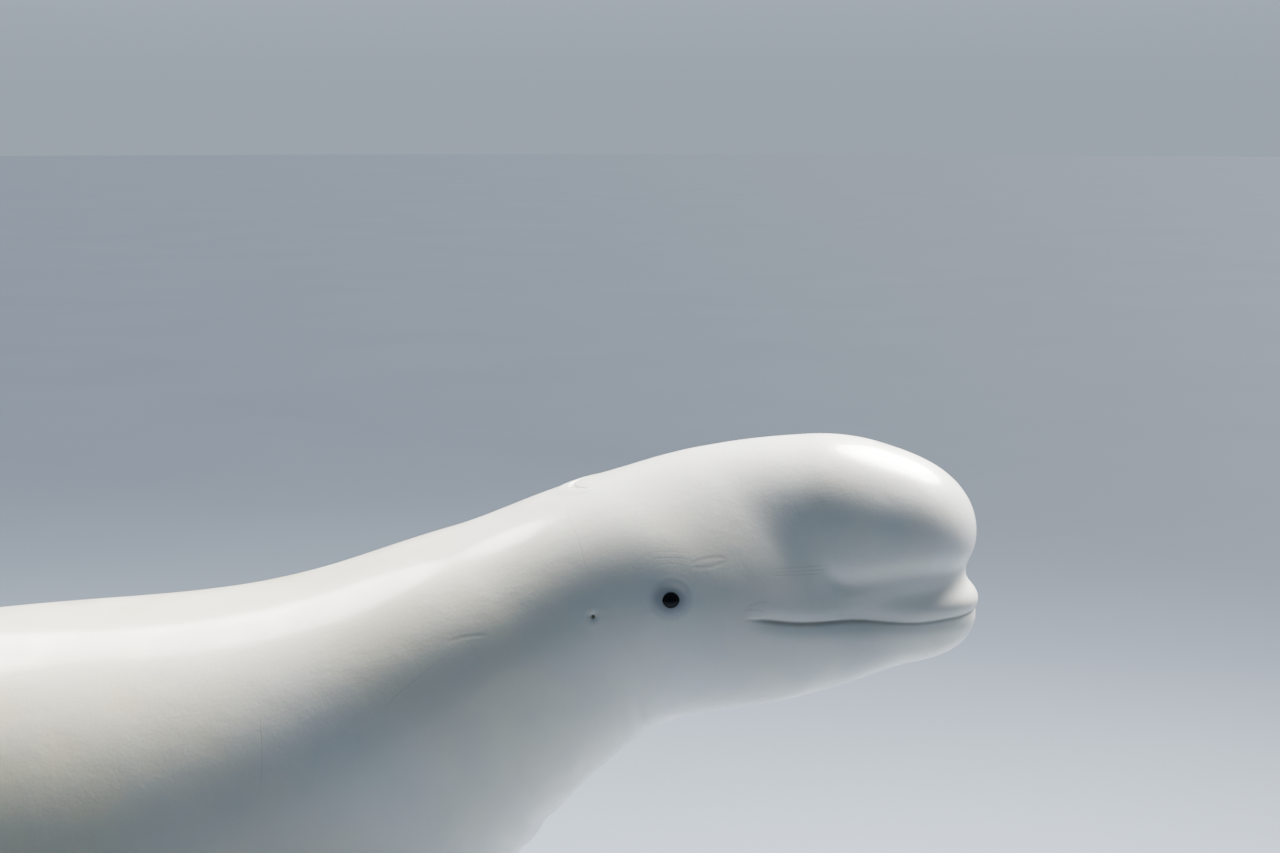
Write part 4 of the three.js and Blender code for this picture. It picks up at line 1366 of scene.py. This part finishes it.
def skinMaterial():
    surface = {"Subsurface Weight": 0.12, "Subsurface Scale": 0.02, "Subsurface Radius": (1.0, 0.7, 0.5)}
    surface |= {"Coat Weight": skinFinish["coat"], "Coat Roughness": skinFinish["coatRoughness"], "IOR": 1.4}
    material, tree, shader = newMaterial("wetSkin", **surface)

    def layer(under, mask, share, name):
        return blendColours(tree, calculate(tree, "MULTIPLY", mask, share), under, skinFinish[name])

    straight = readAttribute(tree, "straight", "Vector")
    behind = splitVector(tree, straight)[0]
    patches = useGroup(tree, "mottling", straight, Scale=2.6, Softness=0.16)
    blots = useGroup(tree, "mottling", straight, Scale=17.0, Softness=0.16)
    scars = useGroup(tree, "scratches", straight, Cells=5.5, Width=0.0010, Reach=0.06, Share=0.45)
    rings = eyeRings(tree, straight, readAttribute(tree, "nearEye"))
    folds = useGroup(tree, "foldLine", straight, **fineFolds[0])
    for sizes in fineFolds[1:]:
        folds = calculate(tree, "MAXIMUM", folds, useGroup(tree, "foldLine", straight, **sizes))
    ivory = calculate(tree, "MULTIPLY", calculate(tree, "ADD", patches, remap(tree, behind, 0.3, 0.95)), 0.6)
    colour = layer(skinFinish["white"], ivory, 1.0, "ivory")
    colour = layer(colour, blots, 0.22, "grey")
    colour = layer(colour, scars, 0.28, "scarAndShade")
    # painted shade in the fine creases
    colour = layer(colour, folds, 0.10, "crease")
    # painted shade in the lips' slit, under the melon and in the navel and vent
    colour = layer(colour, readAttribute(tree, "crease"), 0.8, "crease")
    colour = layer(colour, readAttribute(tree, "finEdge"), remap(tree, blots, 0.0, 1.0, 0.45, 0.85), "fin")
    for shade in skinShades:
        near = readAttribute(tree, shade["near"])
        mask = remap(tree, near, shade["full"], shade["gone"], shade["share"], 0.0)
        colour = layer(colour, mask, 1.0, shade["colour"])
    tree.links.new(colour, shader.inputs["Base Color"])
    tree.links.new(remap(tree, blots, 0.0, 1.0, *skinFinish["roughness"]), shader.inputs["Roughness"])
    grain = useGroup(tree, "grain", straight, Scale=520.0, Cells=0.6)
    height = calculate(tree, "MULTIPLY", grain, 0.08)
    for mask, share in ((blots, 0.25), (scars, -0.07), (folds, -0.15), (rings, -0.05)):
        height = calculate(tree, "ADD", height, calculate(tree, "MULTIPLY", mask, share))
    linkBump(tree, shader, height, mm)
    return material


eyeColours = {
    "iris": (0.022, 0.014, 0.011),
    "streaks": (0.010, 0.007, 0.006),
    "pupil": (0.003, 0.003, 0.004),
    "pupilEdge": (0.945, 0.965),  # of the way from the eyeball's middle to its pole
}


def eyeMaterial():
    surface = {"Coat Weight": 0.6, "Coat Roughness": 0.03, "Roughness": 0.2, "Specular IOR Level": 0.3}
    material, tree, shader = newMaterial("wetEye", **surface)
    streaks = useGroup(tree, "mottling", coordinates(tree), Scale=420.0, Softness=0.2)
    iris = blendColours(tree, streaks, eyeColours["iris"], eyeColours["streaks"])
    pupil = remap(tree, readAttribute(tree, "gaze"), *eyeColours["pupilEdge"])
    tree.links.new(blendColours(tree, pupil, iris, eyeColours["pupil"]), shader.inputs["Base Color"])
    return material


# The stand

boardSet = {"edge": 0.006, "edgeRings": 5, "cornerPoints": 14, "corner": 0.13}

rodSet = {
    "around": 72,
    "gap": 0.0003,  # between the rod and the belly or a collar
    "capRings": 6,
    "rows": (0.985, 0.5, 0.04, 0),  # shares of the height
}

collarSet = {
    "around": 96,
    "brim": 0.011,  # height of the flange
    "bevel": 0.002,
    "fillet": 0.004,  # between the flange and the hub
    "hubFoot": 0.047,  # radius of the hub at its foot
    "hubTop": 0.042,  # and at its top
}

screwSet = {
    "count": 6,
    "ringRadius": 0.0625,
    "around": 24,
    "headRadius": 0.0068,
    "headHeight": 0.0036,
    "dome": ((1, 0), (1, 0.35), (0.93, 0.62), (0.78, 0.86), (0.62, 1)),  # shares of radius and height
    "socket": 0.0032,
    "socketFloor": 0.35,  # share of the height
    "seed": 7,
}


def circleOf(count):
    turns = [2 * math.pi * k / count for k in range(count)]
    return [(math.cos(turn), math.sin(turn)) for turn in turns]


def roundedOutline(halfLength, halfWidth, corner):
    steps = boardSet["cornerPoints"]
    points = []
    for quarter, (x, y) in enumerate(((1, 1), (-1, 1), (-1, -1), (1, -1))):
        for k in range(steps + 1):
            turn = math.pi / 2 * (quarter + k / steps)
            along = x * (halfLength - corner) + corner * math.cos(turn)
            points.append((along, y * (halfWidth - corner) + corner * math.sin(turn)))
    return points


def makeBoard():
    low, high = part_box("stand_base")
    half = high - middleOf("stand_base")
    edge, rings = boardSet["edge"], boardSet["edgeRings"]
    profile = []
    for k in range(rings + 1):
        turn = math.pi / 2 * k / rings
        profile.append((edge * (1 - math.sin(turn)), edge * (1 - math.cos(turn))))
    profile += [(inset, high.z - low.z - height) for inset, height in reversed(profile)]
    points, wear = [], []
    for inset, height in profile:
        for x, y in roundedOutline(half.x - inset, half.y - inset, boardSet["corner"] - inset):
            points.append((x, y, low.z + height))
            wear.append(1.0 if 0 < inset < edge else 0.0)
    around = len(points) // len(profile)
    piece = meshObject("stand_board", points, loftFaces(len(profile), around))
    for polygon in piece.data.polygons:
        polygon.use_smooth = len(polygon.vertices) == 4
    addAttribute(piece.data, "edgeWear", np.array(wear))
    return piece


def turnedShape(name, profile, around, centre):
    # Closed ring of a profile of (radius, height) points, round an upright axis
    points = []
    for x, y in circleOf(around):
        points += [(centre.x + r * x, centre.y + r * y, centre.z + z) for r, z in profile]
    count = len(profile)
    faces = []
    for k in range(around):
        for n in range(count):
            a, b = k * count, (k + 1) % around * count
            faces.append((a + n, b + n, b + (n + 1) % count, a + (n + 1) % count))
    return meshObject(name, points, faces)


def roundedCorner(radius, height, bevel, degrees):
    # Profile of a corner, from its side to its top
    turns = [math.radians(turn) for turn in degrees]
    return [(radius - bevel * (1 - math.cos(turn)), height - bevel * (1 - math.sin(turn))) for turn in turns]


def makeCollar(end):
    node = "stand_collar_" + end
    low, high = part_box(node)
    height, radius = high.z - low.z, (high.x - low.x) / 2
    rodLow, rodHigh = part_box("stand_rod_" + end)
    inner = (rodHigh.x - rodLow.x) / 2 + rodSet["gap"]
    brim, bevel, fillet = collarSet["brim"], collarSet["bevel"], collarSet["fillet"]
    profile = [(inner, 0), (radius - bevel / 2, 0), (radius, bevel / 2), (radius, brim - bevel)]
    profile += roundedCorner(radius, brim, bevel, (30, 60, 90))
    for turn in (0, 30, 60, 90):
        turn = math.radians(turn)
        out, up = fillet * (1 - math.sin(turn)), fillet * (1 - math.cos(turn))
        profile.append((collarSet["hubFoot"] + out, brim + up))
    profile += roundedCorner(collarSet["hubTop"], height, bevel, (0, 30, 60, 90))
    profile.append((inner, height))
    middle = middleOf(node)
    centre = Vector((middle.x, middle.y, low.z))
    piece = turnedShape("stand_" + end + "Collar", profile, collarSet["around"], centre)
    piece.data.shade_smooth()
    markSharpEdges(piece)
    return piece


def markSharpEdges(piece, angle=35):
    # Sharp where faces meet at more than an angle, smooth elsewhere
    with editing(piece.data) as shape:
        for edge in shape.edges:
            edge.smooth = len(edge.link_faces) == 2 and edge.calc_face_angle(0) < math.radians(angle)


def makeRod(end, flesh):
    # Rod whose top follows the belly, a hair's breadth under it
    low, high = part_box("stand_rod_" + end)
    centre, radius = (low + high) / 2, (high.x - low.x) / 2
    around, rings = rodSet["around"], rodSet["capRings"]
    points = []
    for ring in range(1, rings + 1):
        for across, along in circleOf(around):
            x, y = centre.x + radius * (ring / rings) * across, centre.y + radius * (ring / rings) * along
            hit = flesh.ray_cast(Vector((x, y, low.z)), Vector((0, 0, 1)))[0]
            points.append((x, y, hit.z - rodSet["gap"]))
    rim = points[-around:]
    for share in rodSet["rows"]:
        points += [(x, y, low.z + (z - low.z) * share) for x, y, z in rim]
    piece = meshObject("stand_" + end + "Rod", points, loftFaces(rings + len(rodSet["rows"]), around))
    piece.data.shade_smooth()
    markSharpEdges(piece)
    return piece


def screwHead():
    # Low domed head with a six-sided socket
    radius, height, around = screwSet["headRadius"], screwSet["headHeight"], screwSet["around"]
    points = []
    for out, up in screwSet["dome"]:
        points += [(radius * out * x, radius * out * y, height * up) for x, y in circleOf(around)]
    for z in (height, height * screwSet["socketFloor"]):
        for k in range(around):
            turn = 2 * math.pi * k / around
            flat = math.cos(math.pi / 6) / math.cos((turn % (math.pi / 3)) - math.pi / 6)
            flat = screwSet["socket"] * flat
            points.append((flat * math.cos(turn), flat * math.sin(turn), z))
    return meshObject("screwHead", points, loftFaces(len(points) // around, around))


screwInputs = {
    "Geometry": "NodeSocketGeometry",
    "Head": "NodeSocketObject",
    "Count": "NodeSocketInt",
    "Ring Radius": "NodeSocketFloat",
    "Seed": "NodeSocketInt",
    "Material": "NodeSocketMaterial",
}


def screwTree():
    # Screw heads on a ring round each point of a mesh
    tree = bpy.data.node_groups.new("screwRing", "GeometryNodeTree")
    for label, kind in screwInputs.items():
        tree.interface.new_socket(label, in_out="INPUT", socket_type=kind)
    tree.interface.new_socket("Geometry", in_out="OUTPUT", socket_type="NodeSocketGeometry")

    def add(kind, inputs):
        return addNode(tree, "GeometryNode" + kind, inputs).outputs

    given = addNode(tree, "NodeGroupInput").outputs
    circle = add("MeshCircle", {"Vertices": given["Count"], "Radius": given["Ring Radius"]})
    rings = add("InstanceOnPoints", {"Points": given["Geometry"], "Instance": circle[0]})
    places = add("RealizeInstances", {0: rings[0]})
    head = add("ObjectInfo", {"Object": given["Head"]})["Geometry"]
    turn = addNode(tree, "FunctionNodeRandomValue", {"Seed": given["Seed"]}, data_type="FLOAT")
    turn.inputs[3].default_value = 2 * math.pi  # highest
    way = addNode(tree, "ShaderNodeCombineXYZ", {"Z": turn.outputs[1]}).outputs[0]
    heads = add("InstanceOnPoints", {"Points": places[0], "Instance": head, "Rotation": way})
    solid = add("RealizeInstances", {0: heads[0]})
    dressed = add("SetMaterial", {"Geometry": solid[0], "Material": given["Material"]})
    tree.links.new(dressed[0], addNode(tree, "NodeGroupOutput").inputs[0])
    return tree


def makeScrews(material):
    head = screwHead()
    spots = []
    for end in ("front", "rear"):
        node = "stand_collar_" + end
        spots.append((middleOf(node).x, middleOf(node).y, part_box(node)[0].z + collarSet["brim"]))
    data = bpy.data.meshes.new("screwSpots")
    data.from_pydata(spots, [], [])
    host = addObject("screwSpots", data)
    modifier = host.modifiers.new("screws", "NODES")
    modifier.node_group = screwTree()
    wanted = {"Head": head, "Count": screwSet["count"], "Ring Radius": screwSet["ringRadius"]}
    wanted |= {"Seed": screwSet["seed"], "Material": material}
    for item in modifier.node_group.interface.items_tree:
        if item.in_out == "INPUT" and item.name in wanted:
            modifier[item.identifier] = wanted[item.name]
    made = bpy.data.meshes.new_from_object(host.evaluated_get(bpy.context.evaluated_depsgraph_get()))
    host.modifiers.remove(modifier)
    bpy.data.objects.remove(host)
    bpy.data.objects.remove(head)
    return addObject("stand_screws", made)


boardFinish = {
    "dark": (0.050, 0.047, 0.046),
    "light": (0.105, 0.098, 0.092),
    "patches": (0.075, 0.066, 0.058),
    "worn": (0.21, 0.17, 0.13),
    "roughness": (0.38, 0.52),
}

steelFinish = {
    "bright": (0.58, 0.585, 0.59),
    "smudged": (0.44, 0.445, 0.45),
    "marks": (0.70, 0.70, 0.70),
    "roughness": (0.26, 0.40),
}


def boardMaterial():
    material, tree, shader = newMaterial("darkStainedBoard", **{"Coat Weight": 0.25, "Coat Roughness": 0.25})
    place = coordinates(tree)
    long = addNode(tree, "ShaderNodeMapping", {"Vector": place, "Scale": (1.0, 14.0, 14.0)}).outputs[0]
    rings = addNoise(tree, long, 2.2, 8, Distortion=0.6)["Fac"]
    pores = useGroup(tree, "grain", long, Scale=60.0, Cells=0.3)
    colour = blendColours(tree, remap(tree, rings, 0.35, 0.68), boardFinish["dark"], boardFinish["light"])
    patches = useGroup(tree, "mottling", place, Scale=4.0, Softness=0.2)
    colour = blendColours(tree, calculate(tree, "MULTIPLY", patches, 0.3), colour, boardFinish["patches"])
    worn = useGroup(tree, "mottling", place, Scale=40.0, Softness=0.12)
    worn = calculate(tree, "MULTIPLY", readAttribute(tree, "edgeWear"), worn)
    colour = blendColours(tree, calculate(tree, "MULTIPLY", worn, 0.5), colour, boardFinish["worn"])
    tree.links.new(colour, shader.inputs["Base Color"])
    tree.links.new(remap(tree, patches, 0.0, 1.0, *boardFinish["roughness"]), shader.inputs["Roughness"])
    height = calculate(tree, "ADD", calculate(tree, "MULTIPLY", pores, 0.4), rings)
    linkBump(tree, shader, height, 0.0006, 0.6)
    return material


def steelMaterial():
    material, tree, shader = newMaterial("brushedSteel", Metallic=1.0)
    place = coordinates(tree)
    brushed = addNode(tree, "ShaderNodeMapping", {"Vector": place, "Scale": (1.0, 1.0, 40.0)}).outputs[0]
    lines = useGroup(tree, "grain", brushed, Scale=24.0, Cells=0.2)
    marks = useGroup(tree, "scratches", place, Cells=50.0, Width=0.00012, Reach=0.009, Share=0.3)
    smudges = useGroup(tree, "mottling", place, Scale=16.0, Softness=0.2)
    dulled = calculate(tree, "MULTIPLY", smudges, 0.35)
    colour = blendColours(tree, dulled, steelFinish["bright"], steelFinish["smudged"])
    colour = blendColours(tree, calculate(tree, "MULTIPLY", marks, 0.25), colour, steelFinish["marks"])
    tree.links.new(colour, shader.inputs["Base Color"])
    tree.links.new(remap(tree, smudges, 0.0, 1.0, *steelFinish["roughness"]), shader.inputs["Roughness"])
    linkBump(tree, shader, lines, 0.00015, 0.5)
    return material


def dress(piece, material):
    piece.data.materials.clear()
    piece.data.materials.append(material)


steel = steelMaterial()
flesh = surfaceTree(skin.data)
stand = {"stand_base": makeBoard()}
for end in ("front", "rear"):
    stand["stand_rod_" + end] = makeRod(end, flesh)
    stand["stand_collar_" + end] = makeCollar(end)
screws = makeScrews(steel)
print("stand made")


# Finishes and what each piece stands for

fleshNodes = [
    "head", "lower_jaw", "melon", "neck", "chest", "trunk", "loin", "tail_stock", "peduncle", "fluke_root",
    "flipper_right", "flipper_left", "fluke_right", "fluke_left", "dorsal_ridge",
]


dress(skin, skinMaterial())
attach(skin, "root")
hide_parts(*fleshNodes)

wetEye = eyeMaterial()
for node, piece in eyeballs.items():
    dress(piece, wetEye)
    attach(piece, "root")
    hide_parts(node)

board = boardMaterial()
for node, piece in stand.items():
    dress(piece, board if node == "stand_base" else steel)
    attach(piece, "root")
    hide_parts(node)
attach(screws, "root")
print("finishes set")


# Studio

studio = {
    "floorRadius": 60,
    "floorPoints": 96,
    "floorColour": (0.245, 0.28, 0.335),
    "floorPatches": 0.95,  # how light the patches are beside the rest
    "skyNear": (0.08, 0.11, 0.155),  # behind the camera
    "skyFar": (0.47, 0.54, 0.63),  # past the animal
    "horizon": 0.7,  # strength of the sky just over the floor
    "zenith": 1.05,
    "daylight": (1, 0.98, 0.94),
}

lightSet = (  # where each light is and points, its breadth (degrees for the sun) and its strength
    {"kind": "SUN", "name": "sun", "at": (2.3, 1.5, 3.4), "aim": (0.9, 0, 0.9), "size": 28, "power": 2.8},
    {"kind": "AREA", "name": "keyHead", "at": (2.4, 1.5, 3.0), "aim": (1, 0, 1), "size": 1.6, "power": 310},
    {"kind": "AREA", "name": "keyTail", "at": (-1.3, 2, 3.4), "aim": (-0.6, 0, 0.8), "size": 2, "power": 190},
)


def addFloor():
    material, tree, shader = newMaterial("paleFloor", Roughness=0.6)
    place = coordinates(tree)
    patches = useGroup(tree, "mottling", place, Scale=0.8, Softness=0.3)
    darker = tuple(studio["floorPatches"] * part for part in studio["floorColour"])
    tree.links.new(blendColours(tree, patches, studio["floorColour"], darker), shader.inputs["Base Color"])
    radius, count = studio["floorRadius"], studio["floorPoints"]
    data = bpy.data.meshes.new("floor")
    data.from_pydata([(radius * x, radius * y, 0) for x, y in circleOf(count)], [], [tuple(range(count))])
    floor = addObject("floor", data)
    dress(floor, material)


def addLight(way):
    data = bpy.data.lights.new(way["name"], way["kind"])
    data.energy, data.color = way["power"], studio["daylight"]
    if way["kind"] == "SUN":
        data.angle = math.radians(way["size"])
    else:
        data.shape, data.size = "DISK", way["size"]
    light = addObject(way["name"], data)
    light.visible_camera = False
    light.location = way["at"]
    light.rotation_euler = (Vector(way["aim"]) - light.location).to_track_quat("-Z", "Y").to_euler()


def addWorld():
    # Sky that is lighter past the animal than behind the camera
    world = bpy.data.worlds.new("studio")
    world.use_nodes = True
    tree = world.node_tree
    way = splitVector(tree, coordinates(tree, "Generated"))
    colour = blendColours(tree, remap(tree, way[1], -0.5, 0.9), studio["skyNear"], studio["skyFar"])
    strength = remap(tree, way[2], 0.0, 0.14, studio["horizon"], studio["zenith"])
    tree.links.new(colour, tree.nodes["Background"].inputs["Color"])
    tree.links.new(strength, tree.nodes["Background"].inputs["Strength"])
    scene.world = world


addFloor()
for light in lightSet:
    addLight(light)
addWorld()
scene.view_settings.view_transform = "AgX"
scene.view_settings.look = "AgX - Medium High Contrast"
print("studio lit")
